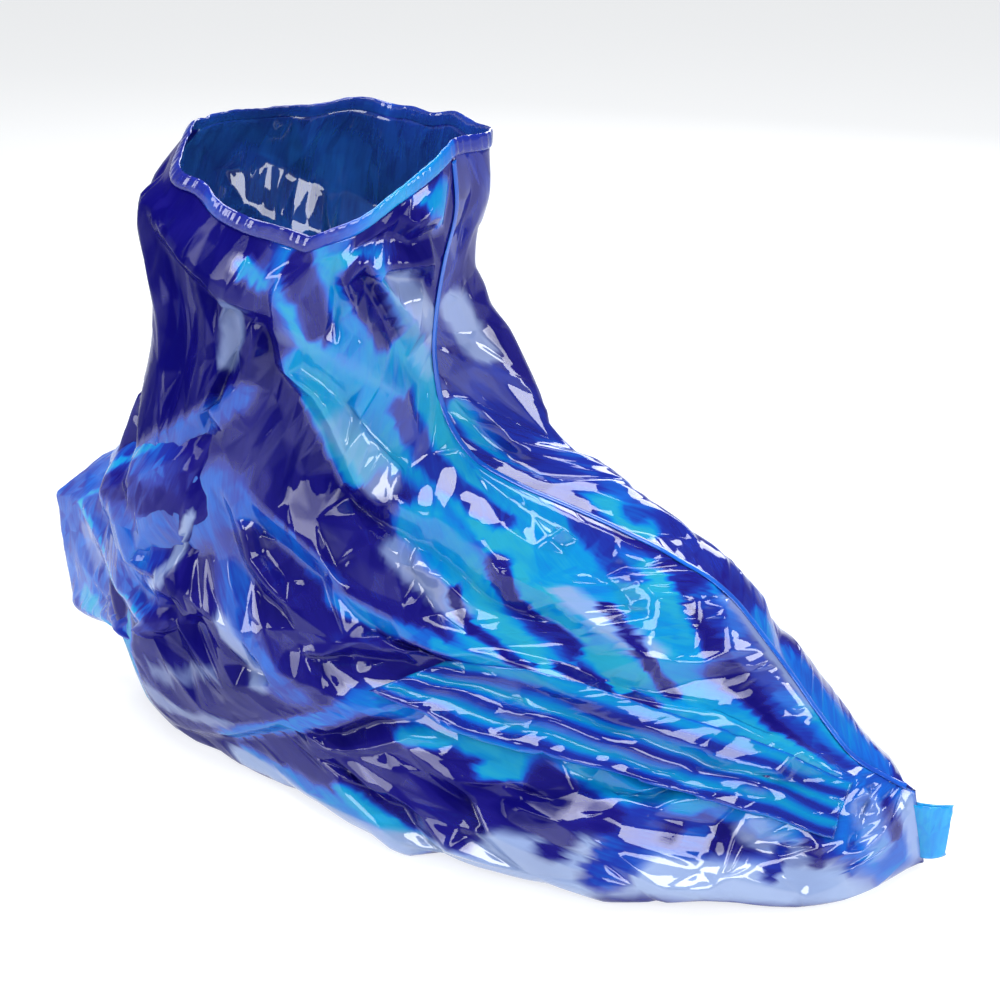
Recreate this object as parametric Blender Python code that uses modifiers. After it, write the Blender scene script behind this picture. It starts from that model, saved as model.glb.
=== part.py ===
"""Disposable film shoe cover, standing in the form that it has when worn.

Two side panels of thin film are welded edge to edge along the front, the back and the sole.
The frame is in metres with +Z up. The toe points to -Y, so the right panel is on the -X side.
The origin is the middle of the foot bed, on the top face of the sole film.
"""

from collections import namedtuple

import bmesh
import bpy
import numpy as np
from mathutils import Vector

# Driving sizes
COVER_LENGTH = 0.406
COVER_HEIGHT = 0.306
COVER_WIDTH = 0.182
COLLAR_DIP = 0.034
FILM_WALL = 0.0012
JOIN_GAP = 0.0003
SEAM_SEAT = 0.0007
HEM_HEIGHT = 0.007
HEM_WALL = 0.0018
HEM_SEAT = 0.0005
SEAM_WIDTH = 0.005
SEAM_WALL = 0.0010
SOLE_SEAM_WIDTH = 0.008
CORNER_WALL = 0.0020
CORNER_SEAT = 0.0008
HEEL_CORNER_REACH = 0.046
HEEL_CORNER_BEND = 0.012
TOE_CORNER_REACH = 0.016
TOE_CORNER_HEIGHT = 0.030
TOE_CORNER_BEND = 0.006
PLEAT_WALL = 0.0014
PLEAT_LIFT = 0.0055
PLEAT_SEAT = 0.0011

# Steps of the mesh between two sections, round half a section and across a small piece
SECTION_STEPS = 2
PANEL_COLUMNS = 24
PLEAT_ROWS = 22
PLEAT_COLUMNS = 5
CORNER_COLUMNS = 6
CORNER_STEPS = 3
CURVE_STEPS = 8

# The panels stop this far from the middle plane, which leaves JOIN_GAP between their inner faces
PANEL_EDGE = FILM_WALL + JOIN_GAP / 2

# Each section is a loop round the cover, from its front edge to its back or sole edge.
# The Y places are shares of COVER_LENGTH and the Z places shares of COVER_HEIGHT, above the foot bed.
# The other lengths are shares of COVER_WIDTH. The four half widths lie at the heights of HALF_LOOP.
# On the left the film stands ahead of the front edge by left_rise, at left_shoulder from the middle.
Section = namedtuple(
    "Section",
    "name front_y front_z back_y back_z shoulder middle corner flat left_shoulder left_rise",
)
SECTIONS = (
    Section("rim", 0.084, 1.000, 0.414, 1.003, 0.275, 0.379, 0.269, 0.055, 0.198, 0.0),
    Section("collar", 0.081, 0.922, 0.463, 0.928, 0.280, 0.390, 0.269, 0.049, 0.198, -0.011),
    Section("neck", 0.096, 0.843, 0.468, 0.837, 0.269, 0.379, 0.236, 0.038, 0.198, -0.016),
    Section("shaft", 0.108, 0.758, 0.458, 0.739, 0.258, 0.363, 0.225, 0.033, 0.214, 0.033),
    Section("lower_shaft", 0.111, 0.683, 0.473, 0.634, 0.247, 0.357, 0.231, 0.033, 0.225, 0.110),
    Section("ankle_bend", 0.099, 0.601, 0.512, 0.529, 0.242, 0.357, 0.236, 0.033, 0.231, 0.159),
    Section("upper_instep", 0.064, 0.536, 0.552, 0.425, 0.231, 0.363, 0.242, 0.033, 0.231, 0.143),
    Section("instep", 0.007, 0.503, 0.567, 0.320, 0.220, 0.374, 0.253, 0.033, 0.231, 0.099),
    Section("heel_top", -0.049, 0.484, 0.571, 0.216, 0.214, 0.385, 0.264, 0.033, 0.231, 0.049),
    Section("heel", -0.099, 0.467, 0.557, 0.111, 0.209, 0.396, 0.275, 0.044, 0.225, -0.022),
    Section("heel_base", -0.140, 0.451, 0.527, 0.026, 0.203, 0.407, 0.286, 0.088, 0.220, -0.049),
    Section("heel_seat", -0.172, 0.438, 0.463, 0.0, 0.198, 0.418, 0.308, 0.159, 0.214, -0.060),
    Section("waist", -0.202, 0.422, 0.350, 0.0, 0.192, 0.412, 0.374, 0.253, 0.203, -0.066),
    Section("arch", -0.232, 0.405, 0.217, 0.0, 0.187, 0.407, 0.456, 0.357, 0.192, -0.066),
    Section("midfoot", -0.266, 0.373, 0.069, 0.0, 0.176, 0.390, 0.516, 0.429, 0.181, -0.060),
    Section("ball", -0.300, 0.324, -0.079, 0.0, 0.165, 0.368, 0.527, 0.445, 0.170, -0.049),
    Section("forefoot", -0.335, 0.271, -0.207, 0.0, 0.148, 0.335, 0.489, 0.407, 0.154, -0.033),
    Section("toe_root", -0.369, 0.216, -0.310, 0.0, 0.126, 0.291, 0.418, 0.341, 0.132, -0.016),
    Section("toe", -0.409, 0.160, -0.392, 0.0, 0.099, 0.231, 0.330, 0.258, 0.099, -0.005),
    Section("toe_front", -0.448, 0.137, -0.453, 0.0, 0.060, 0.143, 0.203, 0.143, 0.060, 0.0),
    Section("toe_weld", -0.483, 0.124, -0.500, 0.007, 0.0, 0.0, 0.0, 0.0, 0.0, 0.0),
)

# How far down the section each half width of the table lies, as a share of its height
HALF_LOOP = (0.0, 0.16, 0.5, 0.86, 1.0, 1.0)

# Folds of the film. A fold runs from one place to another. A place is a share of the way from the
# front edge to the back or sole edge, and a share of the way from the rim to the toe. Width and
# depth are shares of COVER_WIDTH, and a negative depth is a valley.
Fold = namedtuple("Fold", "name from_loop from_rim to_loop to_rim width depth")
RIGHT_FOLDS = (
    Fold("collar_crease", 0.62, 0.01, 0.40, 0.08, 0.09, 0.028),
    Fold("back_crease", 0.80, 0.04, 0.40, 0.11, 0.09, 0.038),
    Fold("gather_hollow", 0.52, 0.14, 0.43, 0.24, 0.14, -0.045),
    Fold("collar_ridge", 0.27, 0.02, 0.12, 0.13, 0.09, 0.036),
    Fold("front_hollow", 0.25, 0.08, 0.17, 0.18, 0.10, -0.036),
    Fold("lobe_ridge", 0.34, 0.14, 0.12, 0.22, 0.09, 0.042),
    Fold("overlap_edge", 0.385, 0.11, 0.22, 0.30, 0.09, 0.042),
    Fold("overlap_run", 0.22, 0.30, 0.15, 0.46, 0.09, 0.032),
    Fold("ankle_hollow", 0.35, 0.25, 0.31, 0.38, 0.14, -0.045),
    Fold("side_crescent", 0.48, 0.29, 0.47, 0.43, 0.09, 0.034),
    Fold("heel_crease", 0.79, 0.36, 0.56, 0.425, 0.10, 0.042),
    Fold("heel_hollow", 0.66, 0.43, 0.56, 0.51, 0.12, -0.038),
    Fold("base_crease", 0.70, 0.55, 0.44, 0.57, 0.09, 0.030),
    Fold("instep_ridge", 0.15, 0.50, 0.14, 0.72, 0.09, 0.032),
    Fold("instep_hollow", 0.22, 0.44, 0.20, 0.72, 0.09, -0.038),
    Fold("side_hollow", 0.50, 0.64, 0.44, 0.84, 0.10, -0.038),
    Fold("side_ridge", 0.58, 0.62, 0.54, 0.84, 0.09, 0.030),
)
LEFT_FOLDS = (
    Fold("collar_hollow", 0.30, 0.02, 0.34, 0.18, 0.14, -0.045),
    Fold("collar_ridge", 0.60, 0.00, 0.46, 0.24, 0.12, 0.040),
    Fold("shaft_hollow", 0.72, 0.10, 0.66, 0.30, 0.14, -0.040),
    Fold("front_ridge", 0.18, 0.10, 0.22, 0.38, 0.10, 0.035),
    Fold("ankle_hollow", 0.40, 0.28, 0.36, 0.46, 0.16, -0.050),
    Fold("heel_crease", 0.82, 0.36, 0.50, 0.52, 0.12, 0.040),
    Fold("instep_hollow", 0.24, 0.46, 0.20, 0.76, 0.12, -0.045),
    Fold("side_ridge", 0.40, 0.50, 0.32, 0.88, 0.10, 0.040),
    Fold("side_hollow", 0.54, 0.56, 0.46, 0.84, 0.12, -0.040),
)

# The collar dips to a point on the right, at this share of the way round from the front edge.
# It rises to full height at the front edge and at DIP_END, and the dip fades at DIP_FADE of the rows.
DIP_AT = 0.36
DIP_END = 0.95
DIP_FADE = 0.17

# The film lies flat beside its welded edges, so the folds fade there over these shares of the loop
FRONT_QUIET = 0.07
BACK_QUIET = 0.10
SOLE_QUIET = 0.36

# They also fade beside the rim and the toe weld, over these shares of the way from rim to toe
RIM_QUIET = 0.08
TOE_QUIET = 0.10

# The bag corners' outlines: the share of their height, and of their reach beyond the weld
Corner = namedtuple("Corner", "height reach")
HEEL_CORNER_ROWS = (
    Corner(0.00, 0.08),
    Corner(0.06, 0.70),
    Corner(0.12, 1.00),
    Corner(0.20, 0.84),
    Corner(0.40, 0.88),
    Corner(0.62, 0.96),
    Corner(0.78, 0.58),
    Corner(1.00, 0.06),
)
TOE_CORNER_ROWS = (
    Corner(0.10, 0.60),
    Corner(0.40, 0.73),
    Corner(0.70, 0.87),
    Corner(1.00, 1.00),
)

# The heel corner's place on the back edge, as shares of the way from the rim to the toe
HEEL_CORNER_SPAN = (0.290, 0.450)

# The heel corner curls to the right and back, through this part of a half turn
CURL_START = 0.25
CURL_RANGE = 0.75

# The side pleat's run from the cut end to the toe, and its upper and lower edges round the loop
Pleat = namedtuple("Pleat", "from_rim upper lower")
PLEAT_ROUTE = (
    Pleat(0.565, 0.330, 0.430),
    Pleat(0.650, 0.270, 0.430),
    Pleat(0.720, 0.230, 0.380),
    Pleat(0.780, 0.190, 0.345),
    Pleat(0.850, 0.150, 0.335),
    Pleat(0.910, 0.110, 0.340),
)

# How far the front, back and sole seams run, as shares of the way from the rim to the toe
FRONT_SEAM_SPAN = (0.0, 0.975)
BACK_SEAM_SPAN = (0.0, 0.50)
SOLE_SEAM_SPAN = (0.56, 0.94)

Finish = namedtuple("Finish", "name colour roughness alpha")
FILM = Finish("blue_film", (0.030, 0.110, 0.620), 0.16, 0.80)
HEM_FILM = Finish("hem_film", (0.025, 0.085, 0.500), 0.20, 0.88)
SEAM_FILM = Finish("welded_film", (0.060, 0.240, 0.760), 0.24, 0.90)
CORNER_FILM = Finish("corner_film", (0.050, 0.330, 0.850), 0.16, 0.65)
PLEAT_FILM = Finish("pleat_film", (0.040, 0.200, 0.740), 0.16, 0.80)


def clear_scene():
    for obj in list(bpy.data.objects):
        bpy.data.objects.remove(obj, do_unlink=True)


def curve_through(points, steps):
    """Catmull-Rom curve through rows of numbers, with this many steps from each row to the next."""
    points = np.asarray(points, float)
    padded = np.vstack([2 * points[0] - points[1], points, 2 * points[-1] - points[-2]])
    rows = []
    for i in range(len(points) - 1):
        before, start, end, after = padded[i : i + 4]
        for t in np.arange(steps) / steps:
            rows.append(
                0.5
                * (
                    2 * start
                    + (end - before) * t
                    + (2 * before - 5 * start + 4 * end - after) * t**2
                    + (3 * start - before - 3 * end + after) * t**3
                )
            )
    rows.append(points[-1])
    return np.array(rows)


def evenly(points, count):
    """The same path as count + 1 points at even spacing."""
    run = np.concatenate([[0.0], np.cumsum(np.linalg.norm(np.diff(points, axis=0), axis=1))])
    at = np.linspace(0.0, run[-1], count + 1)
    return np.stack([np.interp(at, run, points[:, axis]) for axis in range(points.shape[1])], 1)


def smooth_sections(steps):
    """The section table in metres, with this many steps from each section to the next."""
    scale = [COVER_LENGTH, COVER_HEIGHT, COVER_LENGTH, COVER_HEIGHT]
    scale += [COVER_WIDTH] * (len(Section._fields) - 1 - len(scale))
    rows = curve_through([np.multiply(row[1:], scale) for row in SECTIONS], steps)
    return [Section("between", *row) for row in rows]


def half_loop(section, side, columns):
    """Half of one section as columns + 1 points: out from the middle plane, Y and Z."""
    front = np.array((section.front_y, section.front_z))
    back = np.array((section.back_y, max(section.back_z, 0.0)))
    shoulder = section.shoulder
    down = np.array(HALF_LOOP)
    if side > 0:
        shoulder = section.left_shoulder
        down[1] = -section.left_rise / np.linalg.norm(back - front)
    widths = (0.0, shoulder, section.middle, section.corner, section.flat, 0.0)
    corners = np.column_stack([np.maximum(widths, PANEL_EDGE), front + np.outer(down, back - front)])
    mirrored = corners[[1, -2]] * (-1, 1, 1)
    path = curve_through(np.vstack([mirrored[0], corners, mirrored[1]]), CURVE_STEPS)
    path = path[CURVE_STEPS:-CURVE_STEPS]
    path[:, 0] = np.maximum(path[:, 0], PANEL_EDGE)
    return evenly(path, columns)


def ramp(value):
    """A smooth step from 0 to 1 for values from 0 to 1."""
    value = np.clip(value, 0.0, 1.0)
    return value * value * (3 - 2 * value)


def collar_drop(loop, rim):
    """How far the right side of the collar dips at these places."""
    ahead = loop / DIP_AT
    behind = (DIP_END - loop) / (DIP_END - DIP_AT)
    point = np.clip(np.minimum(ahead, behind), 0.0, 1.0)
    return COLLAR_DIP * point * ramp(1 - rim / DIP_FADE)


def fold_height(folds, loop, rim, girth, run):
    """How far the folds lift the film at these places. girth and run are the panel's lengths."""
    lift = np.zeros_like(loop)
    for fold in folds:
        start = np.array((fold.from_loop * girth, fold.from_rim * run))
        along = np.array((fold.to_loop * girth, fold.to_rim * run)) - start
        reach = (np.stack([loop * girth, rim * run], -1) - start) @ along / (along @ along)
        nearest = start + np.clip(reach, 0.0, 1.0)[..., None] * along
        away = np.linalg.norm(np.stack([loop * girth, rim * run], -1) - nearest, axis=-1)
        lift += fold.depth * COVER_WIDTH * ramp(1 - away / (fold.width * COVER_WIDTH))
    return lift


def grid_normals(grid):
    """Unit normals of a grid of points, out of the side that the columns and rows turn round."""
    across = np.gradient(grid, axis=1)
    onward = np.gradient(grid, axis=0)
    normals = np.cross(across, onward)
    return normals / np.linalg.norm(normals, axis=-1, keepdims=True)


def panel_surface(side, steps=SECTION_STEPS, columns=PANEL_COLUMNS):
    """The outer face of one panel as a grid of rows from rim to toe. side is -1 right or 1 left."""
    grid = np.array([half_loop(section, side, columns) for section in smooth_sections(steps)])
    rows = grid.shape[0]
    loop, rim = np.meshgrid(np.linspace(0, 1, columns + 1), np.linspace(0, 1, rows))
    if side < 0:
        grid[..., 2] -= collar_drop(loop, rim)
    girth = np.linalg.norm(np.diff(grid[rows // 2], axis=0), axis=1).sum()
    run = np.linalg.norm(np.diff(grid[:, columns // 3], axis=0), axis=1).sum()
    lift = fold_height(RIGHT_FOLDS if side < 0 else LEFT_FOLDS, loop, rim, girth, run)
    stands = ramp((rim - BACK_SEAM_SPAN[1]) / (SOLE_SEAM_SPAN[0] - BACK_SEAM_SPAN[1]))
    quiet = BACK_QUIET + (SOLE_QUIET - BACK_QUIET) * stands
    lift *= ramp(loop / FRONT_QUIET) * ramp((1 - loop) / quiet)
    lift *= ramp(rim / RIM_QUIET) * ramp((1 - rim) / TOE_QUIET)
    grid[..., 0] *= -1
    normals = grid_normals(grid)
    grid += normals * lift[..., None]
    grid[..., 0] = np.minimum(grid[..., 0], -PANEL_EDGE)
    grid[..., 2] = np.maximum(grid[..., 2], 0.0)
    grid[..., 2] -= FILM_WALL
    if side > 0:
        grid[..., 0] *= -1
    return grid


def material_for(finish):
    material = bpy.data.materials.new(finish.name)
    material.use_nodes = True
    shader = material.node_tree.nodes["Principled BSDF"]
    shader.inputs["Base Color"].default_value = (*finish.colour, 1.0)
    shader.inputs["Roughness"].default_value = finish.roughness
    shader.inputs["Metallic"].default_value = 0.0
    shader.inputs["Alpha"].default_value = finish.alpha
    material.diffuse_color = (*finish.colour, finish.alpha)
    return material


def sheet_object(name, grid, wall, finish, collection, closed=False):
    """A film piece: the grid is its outer face, and a Solidify modifier gives it its wall."""
    rows, columns = grid.shape[:2]
    mesh_data = bmesh.new()
    corners = [[mesh_data.verts.new(Vector(point)) for point in row] for row in grid]
    for i in range(rows - 1):
        for j in range(columns if closed else columns - 1):
            k = (j + 1) % columns
            mesh_data.faces.new((corners[i][j], corners[i][k], corners[i + 1][k], corners[i + 1][j]))
    bmesh.ops.recalc_face_normals(mesh_data, faces=mesh_data.faces[:])
    mesh = bpy.data.meshes.new(name)
    mesh_data.to_mesh(mesh)
    mesh_data.free()
    mesh.materials.append(material_for(finish))
    mesh.shade_smooth()
    obj = bpy.data.objects.new(name, mesh)
    collection.objects.link(obj)
    solidify = obj.modifiers.new("film_wall", "SOLIDIFY")
    solidify.thickness = wall
    solidify.offset = -1.0
    solidify.use_rim = True
    return obj


def face_outward(obj, outward, face=0):
    """Turns the sheet over if this face of it looks away from the outward direction."""
    if obj.data.polygons[face].normal.dot(Vector(outward)) < 0:
        obj.data.flip_normals()


def make_panel(name, side, collection):
    grid = panel_surface(side)
    obj = sheet_object(name, grid, FILM_WALL, FILM, collection)
    face_outward(obj, (side, 0.0, 0.0), PANEL_COLUMNS // 2)
    return grid


def make_collar_hem(right, left, collection):
    """The welded band round the opening. It stands on the panels' top edges."""
    loop = np.vstack([right[0], left[0][::-1]])
    below = np.vstack([right[1], left[1][::-1]])
    upward = loop - below
    upward /= np.linalg.norm(upward, axis=1, keepdims=True)
    foot = loop + upward * HEM_SEAT
    grid = np.array([foot, foot + upward * HEM_HEIGHT / 2, foot + upward * HEM_HEIGHT])
    obj = sheet_object("collar_hem", grid, HEM_WALL, HEM_FILM, collection, closed=True)
    face_outward(obj, (-1.0, 0.0, 0.0), PANEL_COLUMNS // 2)


def span_of(rows, span):
    """The rows of a panel that a share of its run covers."""
    return slice(round(span[0] * (rows - 1)), round(span[1] * (rows - 1)) + 1)


def outward_of(line, turn):
    """Unit vectors across a line in the middle plane, to the side that turn names."""
    along = np.gradient(line, axis=0)
    across = np.column_stack([along[:, 1], -along[:, 0]]) * turn
    return across / np.linalg.norm(across, axis=1, keepdims=True)


def make_seam(name, panels, edge, span, turn, width, collection):
    """A weld strip along a panel edge. It bends with the film on both sides, SEAM_SEAT clear of it."""
    inward = 1 if edge == 0 else -2
    rows = span_of(len(panels[0]), span)
    sides = []
    for panel in panels:
        first = panel[rows, edge]
        onward = panel[rows, inward] - first
        onward /= np.linalg.norm(onward, axis=1, keepdims=True)
        sides.append(first + onward * (width / 2 - PANEL_EDGE))
    middle = (panels[0][rows, edge] + panels[1][rows, edge]) / 2
    across = outward_of(middle[:, 1:3], turn)
    lift = np.column_stack([np.zeros(len(across)), across]) * (SEAM_SEAT + SEAM_WALL)
    grid = np.stack([sides[0] + lift, middle + lift, sides[1] + lift], axis=1)
    obj = sheet_object(name, grid, SEAM_WALL, SEAM_FILM, collection)
    face_outward(obj, lift[0])


def make_heel_corner(panel, collection):
    """The bag's welded back corner, a flat double layer that stands out behind the heel."""
    line = panel[span_of(len(panel), HEEL_CORNER_SPAN), -1, 1:3][::-1]
    across = outward_of(line, 1.0)
    run = np.concatenate([[0.0], np.cumsum(np.linalg.norm(np.diff(line, axis=0), axis=1))])
    outline = np.array(HEEL_CORNER_ROWS)
    stations = np.linspace(0, len(line) - 1, CORNER_STEPS * (len(line) - 1) + 1)
    grid = []
    for station in stations:
        root = np.array([np.interp(station, range(len(line)), line[:, axis]) for axis in (0, 1)])
        away = np.array([np.interp(station, range(len(line)), across[:, axis]) for axis in (0, 1)])
        height = np.interp(station, range(len(line)), run / run[-1])
        reach = np.interp(height, outline[:, 0], outline[:, 1])
        points = []
        for share in np.linspace(0.0, 1.0, CORNER_COLUMNS):
            curl = share * np.sin(np.pi * (CURL_START + CURL_RANGE * share))
            bend = -HEEL_CORNER_BEND * reach * curl
            out = SEAM_SEAT + SEAM_WALL + CORNER_SEAT + share * reach * HEEL_CORNER_REACH
            points.append((bend + CORNER_WALL / 2, *(root + away * out)))
        grid.append(points)
    obj = sheet_object("heel_corner", np.array(grid), CORNER_WALL, CORNER_FILM, collection)
    face_outward(obj, (1.0, 0.0, 0.0))


def make_toe_corner(panel, collection):
    """The bag's welded toe corner, a small flat flap ahead of the toe weld."""
    top = panel[-1, 0, 1:3]
    bottom = panel[-1, -1, 1:3]
    upward = (top - bottom) / np.linalg.norm(top - bottom)
    ahead = np.array((-1.0, 0.0))
    grid = []
    for row in TOE_CORNER_ROWS:
        root = bottom + upward * row.height * TOE_CORNER_HEIGHT
        points = []
        for share in np.linspace(0.0, 1.0, CORNER_COLUMNS):
            out = JOIN_GAP + share * row.reach * TOE_CORNER_REACH
            bend = TOE_CORNER_BEND * share * share
            points.append((bend + CORNER_WALL / 2, *(root + ahead * out)))
        grid.append(points)
    obj = sheet_object("toe_corner", np.array(grid), CORNER_WALL, CORNER_FILM, collection)
    face_outward(obj, (1.0, 0.0, 0.0))


def at_place(grid, normals, loop, rim):
    """The point and outward normal of a panel at a place between its rows and columns."""
    row = rim * (len(grid) - 1)
    column = loop * (grid.shape[1] - 1)
    i = min(int(row), len(grid) - 2)
    j = min(int(column), grid.shape[1] - 2)
    u = column - j
    v = row - i
    mixed = []
    for field in (grid, normals):
        upper = field[i, j] * (1 - u) + field[i, j + 1] * u
        lower = field[i + 1, j] * (1 - u) + field[i + 1, j + 1] * u
        mixed.append(upper * (1 - v) + lower * v)
    return mixed[0], mixed[1] / np.linalg.norm(mixed[1])


def make_side_pleat(panel, collection):
    """The loose pleat along the right side: seated at its upper edge, lifted at its lower edge."""
    normals = grid_normals(panel)
    route = evenly(curve_through(PLEAT_ROUTE, CURVE_STEPS), PLEAT_ROWS)
    grid = []
    for rim, upper, lower in route:
        points = []
        for share in np.linspace(0.0, 1.0, PLEAT_COLUMNS + 1):
            point, away = at_place(panel, normals, upper + share * (lower - upper), rim)
            lift = PLEAT_SEAT + PLEAT_WALL + PLEAT_LIFT * share
            points.append(point + away * lift)
        grid.append(points)
    obj = sheet_object("side_pleat", np.array(grid), PLEAT_WALL, PLEAT_FILM, collection)
    face_outward(obj, (-1.0, 0.0, 0.0))


def main():
    clear_scene()
    collection = bpy.data.collections.new("shoe_cover")
    bpy.context.scene.collection.children.link(collection)
    right = make_panel("right_panel", -1, collection)
    left = make_panel("left_panel", 1, collection)
    make_collar_hem(right, left, collection)
    panels = (right, left)
    make_seam("front_seam", panels, 0, FRONT_SEAM_SPAN, 1.0, SEAM_WIDTH, collection)
    make_seam("back_seam", panels, -1, BACK_SEAM_SPAN, -1.0, SEAM_WIDTH, collection)
    bed = tuple(panel + (0.0, 0.0, FILM_WALL) for panel in panels)
    make_seam("sole_seam", bed, -1, SOLE_SEAM_SPAN, 1.0, SOLE_SEAM_WIDTH, collection)
    make_heel_corner(right, collection)
    make_toe_corner(right, collection)
    make_side_pleat(right, collection)


main()
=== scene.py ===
"""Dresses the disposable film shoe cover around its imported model.

The cover is a bag of two thin glossy film panels, welded along the front, the back and the sole.
Each panel is one crumpled sheet: a smooth lofted form, creases that are charted by their places in
the picture or on the form, and smaller creases between them. Lengths are metres unless a name says
otherwise, the toe points to -Y and the right panel is on the -X side.
"""

from __future__ import annotations

import logging
import math
from dataclasses import astuple, dataclass, field
from enum import Enum
from typing import Any, Iterable, Iterator, Sequence

import bmesh
import bpy
import numpy as np
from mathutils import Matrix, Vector, geometry
from mathutils.bvhtree import BVHTree

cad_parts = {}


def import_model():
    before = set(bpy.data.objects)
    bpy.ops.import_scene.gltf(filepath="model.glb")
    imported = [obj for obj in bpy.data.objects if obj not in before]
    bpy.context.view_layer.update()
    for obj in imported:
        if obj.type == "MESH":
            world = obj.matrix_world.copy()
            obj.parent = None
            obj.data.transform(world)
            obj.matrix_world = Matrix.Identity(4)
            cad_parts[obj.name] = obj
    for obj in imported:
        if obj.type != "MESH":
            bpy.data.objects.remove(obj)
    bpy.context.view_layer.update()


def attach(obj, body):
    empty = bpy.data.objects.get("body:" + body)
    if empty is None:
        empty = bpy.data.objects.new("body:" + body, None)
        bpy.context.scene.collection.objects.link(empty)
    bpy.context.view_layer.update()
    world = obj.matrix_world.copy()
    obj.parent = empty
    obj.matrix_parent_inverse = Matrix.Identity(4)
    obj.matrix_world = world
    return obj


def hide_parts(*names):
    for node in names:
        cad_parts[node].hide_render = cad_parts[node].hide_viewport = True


LOG = logging.getLogger("shoe_cover")
MM = 0.001
FLOOR_HEIGHT = -0.0012
TONE = "film_tone"
PAINTED_REFLECTION = "film_painted_reflection"
BODY = "root"
PANELS = ("right_film", "left_film")
NEAR = np.array([-1.0, 0.0, 0.0])

Array = np.ndarray
Arrays = tuple[Array, Array]
Pair = tuple[float, float]
Triple = tuple[float, float, float]

# A fold line's points. In CREASES they are places in the picture, across and down. In the other
# tables they are shares across the sheet and down from its rim. The last number is how high the
# film stands there, in mm.
Fold = tuple[Triple, ...]

# Random crease nodes keep this share of the loop and these metres from the sheet's edges.
LOOP_EDGE = 0.01
RIM_EDGE = 0.004
# Steps that spread points evenly over a square, flat metres that count as one place, how far a
# stroke and the flap's root fade, and the least share of its flat size that a sheet's area has.
EVEN_STEP = np.array((0.7549, 0.5698))
SAME_PLACE = 2e-7
STROKE_RIM = 1.25
STROKE_FADE = 0.65
INNER_RIM = 1.3
LEAST_AREA = 0.31


class Side(Enum):
    """The wearer's side that a panel is on. The value is the sign of its X."""

    RIGHT = -1
    LEFT = 1


@dataclass(frozen=True)
class Section:
    """One loop round the cover, as shares of its length, height and width."""

    front_y: float
    front_z: float
    back_y: float
    back_z: float
    shoulder: float
    middle: float
    corner: float
    flat: float
    left_shoulder: float
    left_rise: float


def made(kind: type, *rows: tuple[Any, ...]) -> tuple[Any, ...]:
    """Makes one object of a kind from each row of its fields."""
    return tuple(kind(*row) for row in rows)


SECTIONS = made(
    Section,
    (0.084, 1.000, 0.414, 1.003, 0.275, 0.379, 0.269, 0.055, 0.198, 0.0),
    (0.081, 0.922, 0.463, 0.928, 0.280, 0.390, 0.269, 0.049, 0.198, -0.011),
    (0.096, 0.843, 0.468, 0.837, 0.269, 0.379, 0.236, 0.038, 0.198, -0.016),
    (0.108, 0.758, 0.458, 0.739, 0.258, 0.363, 0.225, 0.033, 0.214, 0.033),
    (0.111, 0.683, 0.473, 0.634, 0.247, 0.357, 0.231, 0.033, 0.225, 0.110),
    (0.099, 0.601, 0.512, 0.529, 0.242, 0.357, 0.236, 0.033, 0.231, 0.159),
    (0.064, 0.536, 0.552, 0.425, 0.231, 0.363, 0.242, 0.033, 0.231, 0.143),
    (0.007, 0.503, 0.567, 0.320, 0.220, 0.374, 0.253, 0.033, 0.231, 0.099),
    (-0.049, 0.484, 0.571, 0.216, 0.214, 0.385, 0.264, 0.033, 0.231, 0.049),
    (-0.099, 0.467, 0.557, 0.111, 0.209, 0.396, 0.275, 0.044, 0.225, -0.022),
    (-0.140, 0.451, 0.527, 0.026, 0.203, 0.407, 0.286, 0.088, 0.220, -0.049),
    (-0.172, 0.438, 0.463, 0.0, 0.198, 0.418, 0.308, 0.159, 0.214, -0.060),
    (-0.202, 0.422, 0.350, 0.0, 0.192, 0.412, 0.374, 0.253, 0.203, -0.066),
    (-0.232, 0.405, 0.217, 0.0, 0.187, 0.407, 0.456, 0.357, 0.192, -0.066),
    (-0.266, 0.373, 0.069, 0.0, 0.176, 0.390, 0.516, 0.429, 0.181, -0.060),
    (-0.300, 0.324, -0.079, 0.0, 0.165, 0.368, 0.527, 0.445, 0.170, -0.049),
    (-0.335, 0.271, -0.207, 0.0, 0.148, 0.335, 0.489, 0.407, 0.154, -0.033),
    (-0.369, 0.216, -0.310, 0.0, 0.126, 0.291, 0.418, 0.341, 0.132, -0.016),
    (-0.409, 0.160, -0.392, 0.0, 0.099, 0.231, 0.330, 0.258, 0.099, -0.005),
    (-0.448, 0.137, -0.453, 0.0, 0.060, 0.143, 0.203, 0.143, 0.060, 0.0),
    (-0.483, 0.124, -0.500, 0.007, 0.0, 0.0, 0.0, 0.0, 0.0, 0.0),
)


@dataclass(frozen=True)
class Stroke:
    """A band of film that lets more or less light through, by its points in the picture.

    A patch is a stroke whose points are shares of its own sheet. The width is in mm. The tone runs
    from 0, deep indigo, to 1, clear bright blue. The deep indigo stands for the dark boot that was
    behind the film, and the clear bright blue is painted light that comes through its layers. A
    tone over 1 stands for a painted reflection or highlight instead, a lavender white laid on the
    film.
    """

    points: tuple[Pair, ...]
    width: float
    tone: float
    strength: float = 1.0

    @property
    def milk(self) -> float:
        """Returns how much painted reflection the stroke lays on the film. A tone over 1 stands for
        that alone.
        """
        return min(max(self.tone - 1.0, 0.0) * 4.0, 1.0)


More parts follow.
